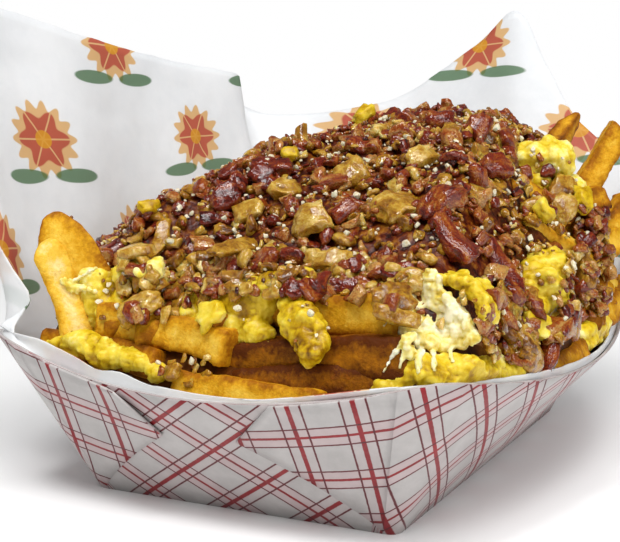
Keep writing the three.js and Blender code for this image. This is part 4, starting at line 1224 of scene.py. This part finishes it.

# Melted cheese: cream-white and moist, darker butter-yellow between its bubbles, partly its fat and partly
# painted shade, and cream where they stand out as painted light
milk, tree = new_material("melted_white_cheese_froth")
place = add(tree, "TexCoord").outputs["Object"]
stands_out = add(tree, "Attribute", attribute_name="stands_out").outputs["Fac"]
mottle = add(tree, "TexNoise", {"Vector": place, "Scale": 160.0, "Detail": 4.0}).outputs[0]
# How far the cheese stands out paints light on its bubbles and shade between them
shade = add(tree, "Math", {0: stands_out, 1: 0.5, 2: mottle}, operation="MULTIPLY_ADD").outputs[0]
cream = [(0.26, "#C6A01E"), (0.4, "#DEC650"), (0.52, "#E8DA90"), (0.68, "#F2ECCC")]
colour = add(tree, "ValToRGB", {0: shade}, stops=cream).outputs[0]
grain = add(tree, "TexNoise", {"Vector": place, "Scale": 1000.0, "Detail": 3.0}).outputs[0]
bump = add(tree, "Bump", {"Height": grain, "Strength": 0.3, "Distance": 0.0004})
look = {
    "Base Color": colour,
    "Roughness": 0.32,
    "Normal": bump.outputs[0],
    "IOR": 1.42,
    "Specular IOR Level": 0.35,
    "Subsurface Weight": 0.4,
    "Subsurface Radius": (0.004, 0.003, 0.002),
    "Subsurface Scale": 0.6,
}
shader = add(tree, "BsdfPrincipled", look)
add(tree, "OutputMaterial", {"Surface": shader.outputs[0]})
cheese_pool.data.materials.append(milk)

# Bacon and onion.
# Cured pork belly chopped and fried until glossy and dark red, tossed with chopped onion that has gone soft,
# brown and half clear in the fat, and sprinkled with crumbled white cheese. It lies in a thick spread over
# the top of the heap.
def spread_edge(angle):
    """How far out the spread goes in that direction, as a share of the way to the rim."""
    forward = np.maximum(0, np.cos(angle + 0.8)) ** 2
    front = np.maximum(0, np.cos(angle + 2.1)) ** 4
    right_back = np.maximum(0, np.cos(angle - 0.15)) ** 6
    uneven_edge = 0.03 * np.sin(5 * angle + 1) + 0.02 * np.sin(11 * angle + 2)
    return 0.82 + 0.06 * forward + 0.05 * front - 0.36 * right_back + uneven_edge


# Its underside and the small stuff between the pieces, run together with fat: one dark knobbly layer,
# its darkness partly painted shade in the gaps between the bits
ROUND, OUT_STEPS = 300, 80
# Size, depth and seed of its knobs, coarse to fine
KNOBS = [(12, 1.3, 64), (6, 1.2, 61), (2.4, 0.7, 62), (1.2, 0.35, 63)]
# Middle, reach and depth of the spot where it lies thinner, round the clump of egg at the right back
THIN_SPOT, THIN_SPOT_REACH, THIN_SPOT_DEPTH = (55.0, 16.0), 8.0, 5.0
LAYER_THICKNESS = 8.5
angles = np.linspace(0, 2 * np.pi, ROUND, endpoint=False)
limit = spread_edge(angles)
layer_rows = []
for share in np.linspace(0.01, 1, OUT_STEPS):
    row = heap_point(angles, limit * share)
    knobs = sum(depth * noise(row, size, seed) for size, depth, seed in KNOBS)
    beside_egg = np.hypot(row[:, 0] - THIN_SPOT[0], row[:, 1] - THIN_SPOT[1]) / THIN_SPOT_REACH
    row[:, 2] += knobs - 1.6 - 1.8 * (1 - share) - THIN_SPOT_DEPTH * np.exp(-(beside_egg**2))
    row[:, 2] -= 6 * np.clip((share - 0.93) / 0.07, 0, 1) ** 2
    layer_rows.append(row)
for share in (0.98, 0.9, 0.01):
    layer_rows.append(heap_point(angles, limit * share, LAYER_THICKNESS))
layer_points = np.concatenate(layer_rows)
lids = np.stack([np.arange(ROUND)[::-1], np.arange(ROUND) + (len(layer_rows) - 1) * ROUND])
faces = [grid_faces(len(layer_rows), ROUND)[:, ::-1], lids[:, ::-1]]
topping_bed = make_piece("bacon_and_onion_underlayer", layer_points, faces)

lies_there(layer_points, grid_faces(OUT_STEPS, ROUND))
before_bits = laid.copy()


def lay(x, y, half, sink):
    """Lays something of those half sizes on what lies there: gives its height and the slope under it."""
    i, j = grid_place(x, y)
    r = max(1, int(round(max(half[0], half[1]) * 0.8 / GRID_STEP)))
    here = (slice(i - r, i + r + 1), slice(j - r, j + r + 1))
    window = laid[here]
    slope_x, slope_y = (np.clip(np.mean(g) / GRID_STEP, -1.5, 1.5) for g in np.gradient(window))
    level = np.percentile(window, 60)
    height = level + half[2] * (1 - sink)
    dx, dy = grid_x[here] - x, grid_y[here] - y
    dome = np.sqrt(np.clip(1 - (dx**2 + dy**2) / (half[0] * half[1]), 0, 1))
    top = height + slope_x * dx + slope_y * dy + half[2] * (dome * 1.5 - 0.7)
    np.maximum(window, np.where(dome > 0, top, -99), out=window)
    return height, np.array([-slope_x, -slope_y, 1.0])


def turn_to(normal, heading, tilt, roll):
    """Axes of something that lies on a slope, turned about it and tilted out of it."""
    up = normal / np.linalg.norm(normal)
    ahead = np.array([np.cos(heading), np.sin(heading), 0.0])
    ahead -= up * (ahead @ up)
    ahead /= np.linalg.norm(ahead)
    axes = np.stack([ahead, np.cross(up, ahead), up])
    c, s = np.cos(tilt), np.sin(tilt)
    tilted = np.array([[c, 0, s], [0, 1, 0], [-s, 0, c]])
    c, s = np.cos(roll), np.sin(roll)
    rolled = np.array([[1, 0, 0], [0, c, s], [0, -s, c]])
    return rolled @ tilted @ axes


BALLS = {fine: ball(fine) for fine in (2, 3, 4, 6, 9)}


def chopped(name, bits, cuts, smooth=True):
    """One piece from many chopped bits, each between a ball and a box, bent, with an uneven cut surface."""
    together = Gathered()
    for fine, (shape, faces) in BALLS.items():
        alike = [bit for bit in bits if bit["fine"] == fine]
        if not alike:
            continue
        keys = ("half", "boxy", "bend", "at", "axes", "offset", "tone", "rough")
        values = [np.array([bit[key] for bit in alike]) for key in keys]
        half, boxy, bend, at, axes, offset, tone, rough = values
        boxed = shape / np.max(np.abs(shape), axis=1, keepdims=True)
        share = boxy[:, None, None]
        points = (shape * (1 - share) + boxed * share) * half[:, None]
        for _ in range(cuts):
            knife = random.normal(size=(len(alike), 3))
            knife /= np.linalg.norm(knife, axis=1, keepdims=True)
            depth = np.linalg.norm(knife * half, axis=1) * random.uniform(0.5, 0.9, len(alike))
            beyond = np.einsum("nvi,ni->nv", points, knife) - depth[:, None]
            points = points - 0.8 * np.clip(beyond, 0, None)[..., None] * knife[:, None]
        curl = bend[:, None] * (points[..., 0] ** 2 / half[:, :1] - half[:, :1] / 3)
        points[..., 2] += curl
        own = points + offset[:, None]
        flat = own.reshape(-1, 3)
        dents = (noise(flat, 2.6, 5) + 0.5 * noise(flat, 1.2, 6)).reshape(points.shape[:2])
        shift = np.stack([noise(flat, 1.9, 7 + k) for k in range(3)], -1).reshape(points.shape)
        least = half.min(1)[:, None, None]
        rough = rough[:, None, None]
        points = points * (1 + rough * dents[..., None]) + 0.9 * rough * least * shift
        world = keep_inside((np.einsum("nvi,nij->nvj", points, axes) + at[:, None]).reshape(-1, 3))
        count = len(shape)
        every = (faces + (np.arange(len(alike)) * count)[:, None, None]).reshape(-1, 4)
        tones = np.repeat(tone, count)
        together.add(world, [every], own=own.reshape(-1, 3), tone=tones)
    return together.piece(name, smooth)


random = np.random.default_rng(23)
bits = {"bacon": [], "onion": [], "crumb": [], "egg": []}
LINER_MARGIN = 2.6


def clear_of_liner(middle, half):
    """The middle of a bit of those half sizes, moved in where the bit would cross the liner."""
    return keep_inside([middle], LINER_MARGIN + 0.7 * np.median(half))[0]


def put(kind, spot, facing, half, lean, tone, bend=0.0, sink=0.3, boxy=0.4, rough=0.2, fine=4):
    """Puts a bit on the food: its length leans that many degrees from level in the photograph."""
    turn = np.radians(lean)
    along = right * np.cos(turn) + up * np.sin(turn)
    along = along - facing * (along @ facing)
    along /= np.linalg.norm(along)
    axes = np.stack([along, np.cross(facing, along), facing])
    at = clear_of_liner(spot + facing * half[2] * (1 - sink), half)
    form = dict(half=half, boxy=boxy, bend=bend, fine=fine, tone=tone, rough=rough)
    bits[kind].append(dict(form, at=at, axes=axes, offset=random.uniform(0, 90, 3)))
    i, j = grid_place(at[0], at[1])
    r = max(1, int(min(half[0], half[1]) * 0.7 / GRID_STEP))
    here = (slice(i - r, i + r + 1), slice(j - r, j + r + 1))
    laid[here] = np.maximum(laid[here], at[2] + half[2] * 0.4)


BIG_BITS = [
    # kind, pixel of its middle in the photograph, half sizes in millimetres, lean, tone, bend
    ("bacon", (353, 288), (10.0, 2.4, 1.8), -2, 0.3, 0.0),
    ("bacon", (393, 274), (6.3, 2.0, 1.6), -8, 0.3, 0.0),
    ("bacon", (444, 208), (6.5, 5.5, 3.4), 75, 0.5, -0.5),
    ("bacon", (452, 245), (9.0, 4.2, 2.6), -72, 0.3, 0.2),
    ("bacon", (502, 276), (10.0, 3.6, 2.2), -70, 0.4, 0.2),
    ("bacon", (492, 277), (3.2, 2.6, 2.4), 0, 1.1, 0.0),
    ("bacon", (558, 336), (6.4, 4.2, 3.0), 28, 0.8, 0.1),
    ("bacon", (547, 354), (6.5, 2.6, 2.2), 65, 0.3, 0.0),
    ("bacon", (262, 268), (6.5, 4.4, 2.6), 60, 0.45, 0.2),
    ("bacon", (588, 230), (4.4, 4.4, 3.0), 80, 0.3, 0.0),
    ("bacon", (225, 200), (5.2, 4.4, 3.4), 20, 0.15, 0.0),
    ("bacon", (262, 178), (4.2, 3.4, 2.8), 50, 0.12, 0.0),
    ("bacon", (279, 172), (4.4, 3.0, 2.6), 0, 0.2, 0.0),
    ("bacon", (270, 190), (4.4, 3.2, 2.6), -30, 0.15, 0.0),
    ("bacon", (440, 126), (5.0, 3.6, 3.0), 10, 0.3, 0.0),
    ("bacon", (404, 127), (4.0, 3.4, 3.0), 40, 0.5, 0.0),
    ("bacon", (476, 131), (4.4, 3.8, 3.0), 60, 0.25, 0.0),
    ("bacon", (504, 146), (4.8, 2.6, 2.4), 5, 0.3, 0.0),
    ("bacon", (490, 170), (6.0, 3.6, 2.8), 15, 0.35, 0.0),
    ("bacon", (336, 186), (5.4, 2.4, 2.0), -20, 0.6, 0.0),
    ("bacon", (346, 215), (4.6, 3.0, 2.4), 80, 0.35, 0.0),
    ("bacon", (548, 173), (2.8, 2.2, 1.8), 0, 0.1, 0.0),
    ("bacon", (142, 298), (3.4, 2.2, 1.8), 40, 0.3, 0.0),
    ("bacon", (115, 252), (3.2, 2.6, 1.8), 40, 0.1, 0.3),
    ("bacon", (205, 250), (3.0, 2.6, 2.0), 0, 0.8, 0.0),
    ("onion", (315, 223), (6.6, 5.2, 2.2), 10, 0.72, -0.3),
    ("onion", (401, 212), (7.4, 6.4, 2.2), 50, 0.5, -0.3),
    ("onion", (240, 252), (12.5, 3.0, 1.7), 50, 0.42, -0.1),
    ("onion", (519, 349), (6.6, 5.4, 3.0), 88, 0.5, 0.0),
    ("onion", (408, 284), (6.2, 3.4, 2.0), -16, 0.85, -0.2),
    ("onion", (392, 301), (5.6, 4.4, 2.4), 20, 0.3, -0.2),
    ("onion", (396, 318), (6.2, 2.2, 1.6), -10, 0.55, 0.0),
    ("onion", (161, 243), (8.4, 2.3, 1.6), 84, 0.42, 0.1),
    ("onion", (160, 282), (9.0, 3.0, 2.0), 48, 0.3, 0.1),
    ("onion", (136, 257), (5.8, 3.6, 2.0), 5, 0.75, -0.2),
    ("onion", (141, 312), (6.6, 3.8, 2.4), 12, 0.7, -0.2),
    ("onion", (176, 373), (3.4, 2.4, 1.6), -20, 0.4, 0.0),
    ("onion", (600, 300), (4.2, 3.2, 2.4), 70, 0.25, 0.0),
    ("onion", (580, 268), (7.0, 2.8, 2.2), 84, 0.25, 0.0),
    ("onion", (561, 192), (5.6, 4.4, 1.8), 60, 0.35, -0.2),
    ("onion", (352, 178), (5.0, 4.4, 2.4), 30, 0.55, 0.0),
    ("onion", (420, 160), (6.0, 3.6, 2.0), 40, 0.8, -0.2),
    ("onion", (285, 195), (4.6, 3.8, 2.2), 20, 0.6, 0.0),
    ("onion", (330, 262), (7.0, 3.0, 1.8), -10, 0.7, -0.1),
    ("onion", (250, 215), (4.6, 3.4, 1.8), 10, 0.7, 0.0),
    ("egg", (366, 121), (4.4, 3.0, 2.4), 10, -0.05, 0.0),
    ("egg", (291, 157), (2.6, 2.2, 1.8), 0, -0.05, 0.0),
    ("egg", (148, 210), (3.4, 2.2, 1.8), 20, -0.1, 0.0),
    ("egg", (150, 272), (4.4, 2.8, 2.0), 30, 0.3, 0.0),
    ("egg", (530, 327), (5.4, 3.2, 2.2), -5, 0.05, 0.0),
    ("egg", (578, 200), (5.0, 3.0, 2.2), 65, 0.0, 0.0),
    ("egg", (541, 214), (3.6, 2.6, 2.0), -10, 0.05, 0.0),
    ("egg", (216, 317), (4.0, 3.0, 2.2), 20, 0.05, 0.0),
    ("onion", (562, 210), (5.0, 4.0, 2.0), 60, 0.7, -0.2),
]
# Where fries and egg show bare, as outlines in the photograph
BARE = [
    [(508, 150), (530, 134), (540, 104), (595, 104), (594, 150), (596, 190), (560, 205), (526, 192)],
    [(556, 100), (620, 100), (620, 235), (602, 212), (590, 150)],
    [(522, 262), (545, 246), (574, 246), (574, 318), (540, 322), (522, 300)],
    [(424, 262), (494, 262), (500, 306), (470, 312), (430, 300)],
]
# Each round lays one size of bit, big ones among small ones
ROUNDS = [
    # how many, share of bacon, onion and crumbs, smallest and largest half length
    (700, (0.5, 0.5, 0.0), 1.4, 3.0),
    (380, (0.52, 0.48, 0.0), 2.2, 4.0),
    (1000, (0.5, 0.5, 0.0), 1.1, 2.4),
    (150, (0.5, 0.5, 0.0), 2.4, 4.0),
]
# The last round is mostly crumbled cheese; its many pale crumbs also stand in for small bright glints on the
# spread, as painted highlight
ROUNDS_ON_TOP = [(1300, (0.46, 0.46, 0.08), 0.7, 1.6), (1800, (0.04, 0.06, 0.9), 0.3, 0.95)]
# No more bits are laid where they already stand this high
PILE_LIMIT = 2.8


def new_bit(shares, smallest, largest):
    """A bit of a random kind and size: its kind, half sizes and form."""
    kind = random.choice(["bacon", "onion", "crumb"], p=np.array(shares) / np.sum(shares))
    length = smallest + (largest - smallest) * random.random() ** 1.6
    if kind == "bacon":
        half = length * np.array([1.0, random.uniform(0.5, 0.95), random.uniform(0.35, 0.7)])
        form = dict(boxy=random.uniform(0.2, 0.8), bend=random.normal(0, 0.3), rough=0.32)
    elif kind == "onion":
        half = length * np.array([1.0, random.uniform(0.5, 0.95), random.uniform(0.25, 0.5)])
        form = dict(boxy=random.uniform(0.0, 0.6), bend=np.clip(random.normal(0, 0.5), -0.6, 0.6), rough=0.4)
    else:
        length = min(length, 0.9)
        half = length * np.array([1.0, random.uniform(0.55, 1), random.uniform(0.45, 0.8)])
        form = dict(boxy=0.6, bend=0.0, rough=0.5)
    form["fine"] = 2 if length < 1.6 else 3 if length < 2.8 else 4
    form["tone"] = random.random()
    return kind, half, form


def shows_bare(point):
    """Whether a point of the food shows in the photograph and is bare there."""
    pixel = in_photograph(point)
    if not any(inside_outline(*pixel, bare) for bare in BARE):
        return False
    spot, _ = seen_on_food(*pixel)
    return spot is not None and np.linalg.norm(spot - point) < 10


def scatter(count, shares, smallest, largest):
    """Lays one round of bits all over the spread."""
    bacon_share, onion_share, crumb_share = shares
    reach_low, reach_high = heap_outline[:, :2].min(0), heap_outline[:, :2].max(0)
    done = 0
    while done < count:
        x, y = random.uniform(reach_low, reach_high)
        out = heap_height(x, y)[1]
        angle = np.arctan2(y - PEAK[1], x - PEAK[0])
        if out > spread_edge(angle) + random.normal(-0.01, 0.02):
            continue
        done += 1
        among = 0.5 * noise(np.array([[x, y, 0.0]]), 17, 65)[0]
        shares = np.clip([bacon_share + among, onion_share - among, crumb_share], 0.04, 1)
        kind, half, form = new_bit(shares, smallest, largest)
        i, j = grid_place(x, y)
        if laid[i, j] - before_bits[i, j] > PILE_LIMIT or shows_bare(np.array([x, y, laid[i, j]])):
            continue
        height, normal = lay(x, y, half, 0.45 if kind != "crumb" else 0.2)
        axes = turn_to(normal, random.uniform(0, 2 * np.pi), *random.normal(0, 0.4, 2))
        at = clear_of_liner((x, y, height), half)
        bits[kind].append(dict(form, half=half, at=at, axes=axes, offset=random.uniform(0, 90, 3)))


for one_round in ROUNDS:
    scatter(*one_round)
for kind, (x, y), half, lean, tone, bend in BIG_BITS:
    spot, facing = seen_on_food(x, y)
    while spot is None:
        y += 2
        spot, facing = seen_on_food(x, y)
    rough = 0.34 if kind == "egg" else 0.18
    put(kind, spot, facing, np.array(half), lean, tone, bend, fine=9 if max(half) > 5 else 6, rough=rough)
for one_round in ROUNDS_ON_TOP:
    scatter(*one_round)

# Where it has run down over the fries and egg, as outlines in the photograph
SPILLS = [
    # outline, how many, share of bacon, onion and crumbs, smallest and largest half length
    (
        [(112, 262), (150, 250), (205, 285), (290, 290), (205, 300), (170, 318), (140, 325)],
        90,
        (0.4, 0.55, 0.05),
        0.9,
        3.2,
    ),
    ([(200, 255), (345, 262), (332, 298), (270, 290), (205, 298)], 90, (0.35, 0.6, 0.05), 0.9, 3.4),
    (
        [(494, 285), (530, 296), (536, 330), (528, 362), (506, 368), (486, 348), (484, 316)],
        120,
        (0.5, 0.45, 0.05),
        0.9,
        3.4,
    ),
    ([(560, 236), (606, 246), (606, 312), (572, 318)], 110, (0.5, 0.45, 0.05), 1.0, 3.2),
    ([(575, 205), (606, 205), (606, 250), (575, 250)], 40, (0.6, 0.3, 0.1), 0.9, 2.8),
    ([(450, 290), (476, 290), (478, 304), (454, 302)], 4, (0.1, 0.85, 0.05), 1.0, 1.8),
    ([(338, 262), (406, 262), (406, 288), (394, 322), (372, 300), (340, 298)], 55, (0.4, 0.5, 0.1), 0.9, 2.8),
    ([(150, 362), (215, 352), (222, 378), (190, 390)], 14, (0.3, 0.6, 0.1), 0.7, 1.8),
    ([(558, 302), (575, 302), (574, 338), (562, 342)], 20, (0.5, 0.45, 0.05), 1.2, 3.0),
    ([(98, 268), (130, 262), (134, 325), (98, 322)], 14, (0.2, 0.5, 0.3), 0.5, 1.4),
    ([(205, 270), (330, 270), (330, 360), (205, 340)], 14, (0.25, 0.35, 0.4), 0.3, 0.9),
    ([(510, 135), (590, 150), (585, 215), (520, 200)], 22, (0.2, 0.4, 0.4), 0.5, 1.6),
    ([(515, 250), (575, 250), (575, 335), (515, 335)], 22, (0.2, 0.4, 0.4), 0.5, 1.6),
]
for outline, count, shares, smallest, largest in SPILLS:
    for spot, facing in spots_in(outline, count, random):
        kind, half, form = new_bit(shares, smallest, largest)
        put(kind, spot, facing, half, random.uniform(-90, 90), **form)
bacon_bits = chopped("chopped_bacon", bits["bacon"], 3)
onion_bits = chopped("chopped_fried_onion", bits["onion"], 1)
cheese_crumbs = chopped("white_cheese_crumbs", bits["crumb"], 3, smooth=False)
egg_bits = chopped("scrambled_egg_bits", bits["egg"], 0)
egg_bits.data.materials.append(egg)
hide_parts("bacon_and_onion")

# Fried bacon: hard and glossy with fat, in streaks of dark red lean and tan fat along the rasher
rasher, tree = new_material("fried_chopped_bacon")
own = add(tree, "Attribute", attribute_name="own").outputs["Vector"]
tone = add(tree, "Attribute", attribute_name="tone").outputs["Fac"]
streak = add(tree, "VectorMath", {0: own, 1: (0.2, 0.9, 0.6)}, operation="MULTIPLY").outputs[0]
streaks = add(tree, "TexNoise", {"Vector": streak, "Scale": 0.6, "Detail": 3.0, "Roughness": 0.5}).outputs[0]
grain = add(tree, "TexNoise", {"Vector": own, "Scale": 1.6, "Detail": 4.0, "Roughness": 0.6}).outputs[0]
beads = add(tree, "TexNoise", {"Vector": own, "Scale": 2.4, "Detail": 2.0, "Roughness": 0.6}).outputs[0]
shade = add(tree, "Math", {0: tone, 1: 0.45, 2: streaks}, operation="MULTIPLY_ADD").outputs[0]
shade = add(tree, "Math", {0: grain, 1: 0.6, 2: shade}, operation="MULTIPLY_ADD").outputs[0]
shade = add(tree, "Math", {0: shade, 1: 0.17}, operation="SUBTRACT").outputs[0]
meat = [(0.4, "#220301"), (0.57, "#4E0C03"), (0.75, "#7A2007"), (0.92, "#9E5010"), (1.1, "#C08E48")]
meat = [(place / 1.2, code) for place, code in meat]
shade = add(tree, "Math", {0: shade, 1: 1 / 1.2}, operation="MULTIPLY").outputs[0]
colour = add(tree, "ValToRGB", {0: shade}, stops=meat).outputs[0]
relief = add(tree, "Math", {0: grain, 1: beads}, operation="ADD").outputs[0]
bump = add(tree, "Bump", {"Height": relief, "Strength": 0.9, "Distance": 0.0009})
fat = add(tree, "TexNoise", {"Vector": own, "Scale": 1.2, "Detail": 2.0, "Roughness": 0.6}).outputs[0]
glints = add(tree, "Bump", {"Height": fat, "Strength": 0.45, "Distance": 0.0005})
look = {
    "Base Color": colour,
    "Roughness": 0.5,
    "Normal": bump.outputs[0],
    "IOR": 1.45,
    "Specular IOR Level": 0.12,
    "Coat Weight": 1.0,
    "Coat Roughness": 0.05,
    "Coat Normal": glints.outputs[0],
    "Subsurface Weight": 0.2,
    "Subsurface Radius": (0.003, 0.0008, 0.0004),
    "Subsurface Scale": 0.5,
}
shader = add(tree, "BsdfPrincipled", look)
add(tree, "OutputMaterial", {"Surface": shader.outputs[0]})
bacon_bits.data.materials.append(rasher)

# Fried onion: soft and half clear, straw to brown, with faint ribs along each layer
layer, tree = new_material("soft_fried_onion")
own = add(tree, "Attribute", attribute_name="own").outputs["Vector"]
tone = add(tree, "Attribute", attribute_name="tone").outputs["Fac"]
ribs = add(tree, "TexNoise", {"Vector": own, "Scale": 0.35, "Detail": 1.0, "Roughness": 0.4}).outputs[0]
specks = add(tree, "TexNoise", {"Vector": own, "Scale": 1.3, "Detail": 4.0, "Roughness": 0.7}).outputs[0]
ribs = add(tree, "Math", {0: ribs, 1: specks}, operation="ADD").outputs[0]
shade = add(tree, "Math", {0: ribs, 1: 0.95, 2: -0.68}, operation="MULTIPLY_ADD").outputs[0]
shade = add(tree, "Math", {0: tone, 1: 0.5, 2: shade}, operation="MULTIPLY_ADD").outputs[0]
straw = [(0.14, "#5E3002"), (0.34, "#885808"), (0.52, "#A67818"), (0.7, "#BC9636"), (0.94, "#DCC27C")]
colour = add(tree, "ValToRGB", {0: shade}, stops=straw).outputs[0]
bump = add(tree, "Bump", {"Height": ribs, "Strength": 0.7, "Distance": 0.0008})
juice = add(tree, "TexNoise", {"Vector": own, "Scale": 1.1, "Detail": 2.0, "Roughness": 0.6}).outputs[0]
glints = add(tree, "Bump", {"Height": juice, "Strength": 0.45, "Distance": 0.0005})
look = {
    "Base Color": colour,
    "Roughness": 0.4,
    "Normal": bump.outputs[0],
    "IOR": 1.42,
    "Specular IOR Level": 0.15,
    "Coat Weight": 1.0,
    "Coat Roughness": 0.05,
    "Coat Normal": glints.outputs[0],
    "Subsurface Weight": 0.6,
    "Subsurface Radius": (0.0018, 0.0011, 0.0005),
    "Subsurface Scale": 1.0,
}
shader = add(tree, "BsdfPrincipled", look)
add(tree, "OutputMaterial", {"Surface": shader.outputs[0]})
onion_bits.data.materials.append(layer)

# Crumbled white cheese: dry, chalky and mealy
chalk, tree = new_material("crumbled_white_cheese")
own = add(tree, "Attribute", attribute_name="own").outputs["Vector"]
grain = add(tree, "TexNoise", {"Vector": own, "Scale": 1.8, "Detail": 3.0}).outputs[0]
colour = add(tree, "ValToRGB", {0: grain}, stops=[(0.3, "#D2BE90"), (0.6, "#EADDBE")]).outputs[0]
bump = add(tree, "Bump", {"Height": grain, "Strength": 0.4, "Distance": 0.0003})
look = {
    "Base Color": colour,
    "Roughness": 0.6,
    "Normal": bump.outputs[0],
    "IOR": 1.45,
    "Subsurface Weight": 0.2,
}
shader = add(tree, "BsdfPrincipled", look)
add(tree, "OutputMaterial", {"Surface": shader.outputs[0]})
cheese_crumbs.data.materials.append(chalk)

# The dark small stuff under them: fat, juices and burnt scraps run together; the dark colours are partly
# painted shade in the gaps between the bits
scraps, tree = new_material("bacon_fat_scraps_and_painted_gap_shade")
place = add(tree, "TexCoord").outputs["Object"]
patches = add(tree, "TexNoise", {"Vector": place, "Scale": 330.0, "Detail": 4.0, "Roughness": 0.6}).outputs[0]
dark = [(0.35, "#200602"), (0.46, "#461206"), (0.55, "#662C08"), (0.65, "#905A14")]
colour = add(tree, "ValToRGB", {0: patches}, stops=dark).outputs[0]
bump = add(tree, "Bump", {"Height": patches, "Strength": 0.8, "Distance": 0.001})
look = {
    "Base Color": colour,
    "Roughness": 0.34,
    "Normal": bump.outputs[0],
    "IOR": 1.45,
    "Specular IOR Level": 0.3,
}
shader = add(tree, "BsdfPrincipled", look)
add(tree, "OutputMaterial", {"Surface": shader.outputs[0]})
topping_bed.data.materials.append(scraps)

# Camera, floor and light.
# The camera stands where the photograph was taken, a little above the tray and to the right of its front.
lens = bpy.data.cameras.new("camera")
lens.sensor_width = 36.0
lens.lens = FOCAL_PIXELS / FRAME_WIDTH * lens.sensor_width
lens.clip_start, lens.clip_end = 0.01, 20.0
camera = bpy.data.objects.new("camera", lens)
bpy.context.scene.collection.objects.link(camera)
pose = np.eye(4)
pose[:3, 0], pose[:3, 1], pose[:3, 2], pose[:3, 3] = right, up, -ahead, CAMERA_AT * MM
camera.matrix_world = Matrix(pose.tolist())
bpy.context.scene.camera = camera

# A pale floor, so large that its edge never shows
floor_mesh = bpy.data.meshes.new("floor")
FLOOR_REACH = 6.0
floor_corners = [(x * FLOOR_REACH, y * FLOOR_REACH, 0) for x, y in ((-1, -1), (1, -1), (1, 1), (-1, 1))]
floor_mesh.from_pydata(floor_corners, [], [(0, 1, 2, 3)])
floor = bpy.data.objects.new("floor", floor_mesh)
bpy.context.scene.collection.objects.link(floor)
matt, tree = new_material("matt_white_studio_floor")
haze = add(tree, "TexNoise", {"Scale": 3.0, "Detail": 1.0})
pale = add(tree, "ValToRGB", {0: haze.outputs[0]}, stops=[(0.3, "#F4F4F4"), (0.7, "#F8F8F8")])
shader = add(tree, "BsdfPrincipled", {"Base Color": pale.outputs[0], "Roughness": 0.9})
add(tree, "OutputMaterial", {"Surface": shader.outputs[0]})
floor_mesh.materials.append(matt)


def soft_light(name, at, aim, size, watts):
    """A square softbox at a point in metres, turned to what it lights."""
    lamp = bpy.data.lights.new(name, "AREA")
    lamp.size = size
    lamp.energy = watts
    held = bpy.data.objects.new(name, lamp)
    bpy.context.scene.collection.objects.link(held)
    away = np.array(at) - np.array(aim)
    away = away / np.linalg.norm(away)
    side = np.cross([0, 0, 1.0], away)
    side /= np.linalg.norm(side)
    matrix = np.eye(4)
    matrix[:3, 0], matrix[:3, 1], matrix[:3, 2], matrix[:3, 3] = side, np.cross(away, side), away, at
    held.matrix_world = Matrix(matrix.tolist())


soft_light("overhead_softbox", (0.3, -0.4, 1.15), (0, 0, 0.05), 0.6, 9.0)
soft_light("small_softbox", (-0.1, -0.5, 1.1), (0, 0, 0.05), 0.22, 5.0)
soft_light("right_softbox", (1.15, -0.5, 0.6), (0, 0, 0.06), 0.5, 5.0)
world = bpy.data.worlds.new("studio")
bpy.context.scene.world = world
world.use_nodes = True
world.node_tree.nodes.clear()
# The room is dimmer than the white paper behind, which only the camera sees, and little of it is mirrored
mirrored = add(world.node_tree, "LightPath").outputs["Is Glossy Ray"]
dimness = add(world.node_tree, "MapRange", {"Value": mirrored, "To Min": 0.4, "To Max": 0.12}).outputs[0]
room = add(world.node_tree, "Background", {"Color": "#FFFFFF", "Strength": dimness})
backdrop = add(world.node_tree, "Background", {"Color": "#FFFFFF", "Strength": 1.0})
seen = add(world.node_tree, "LightPath").outputs["Is Camera Ray"]
sky = add(world.node_tree, "MixShader", {0: seen, 1: room.outputs[0], 2: backdrop.outputs[0]})
add(world.node_tree, "OutputWorld", {"Surface": sky.outputs[0]})
bpy.context.scene.view_settings.view_transform = "Standard"
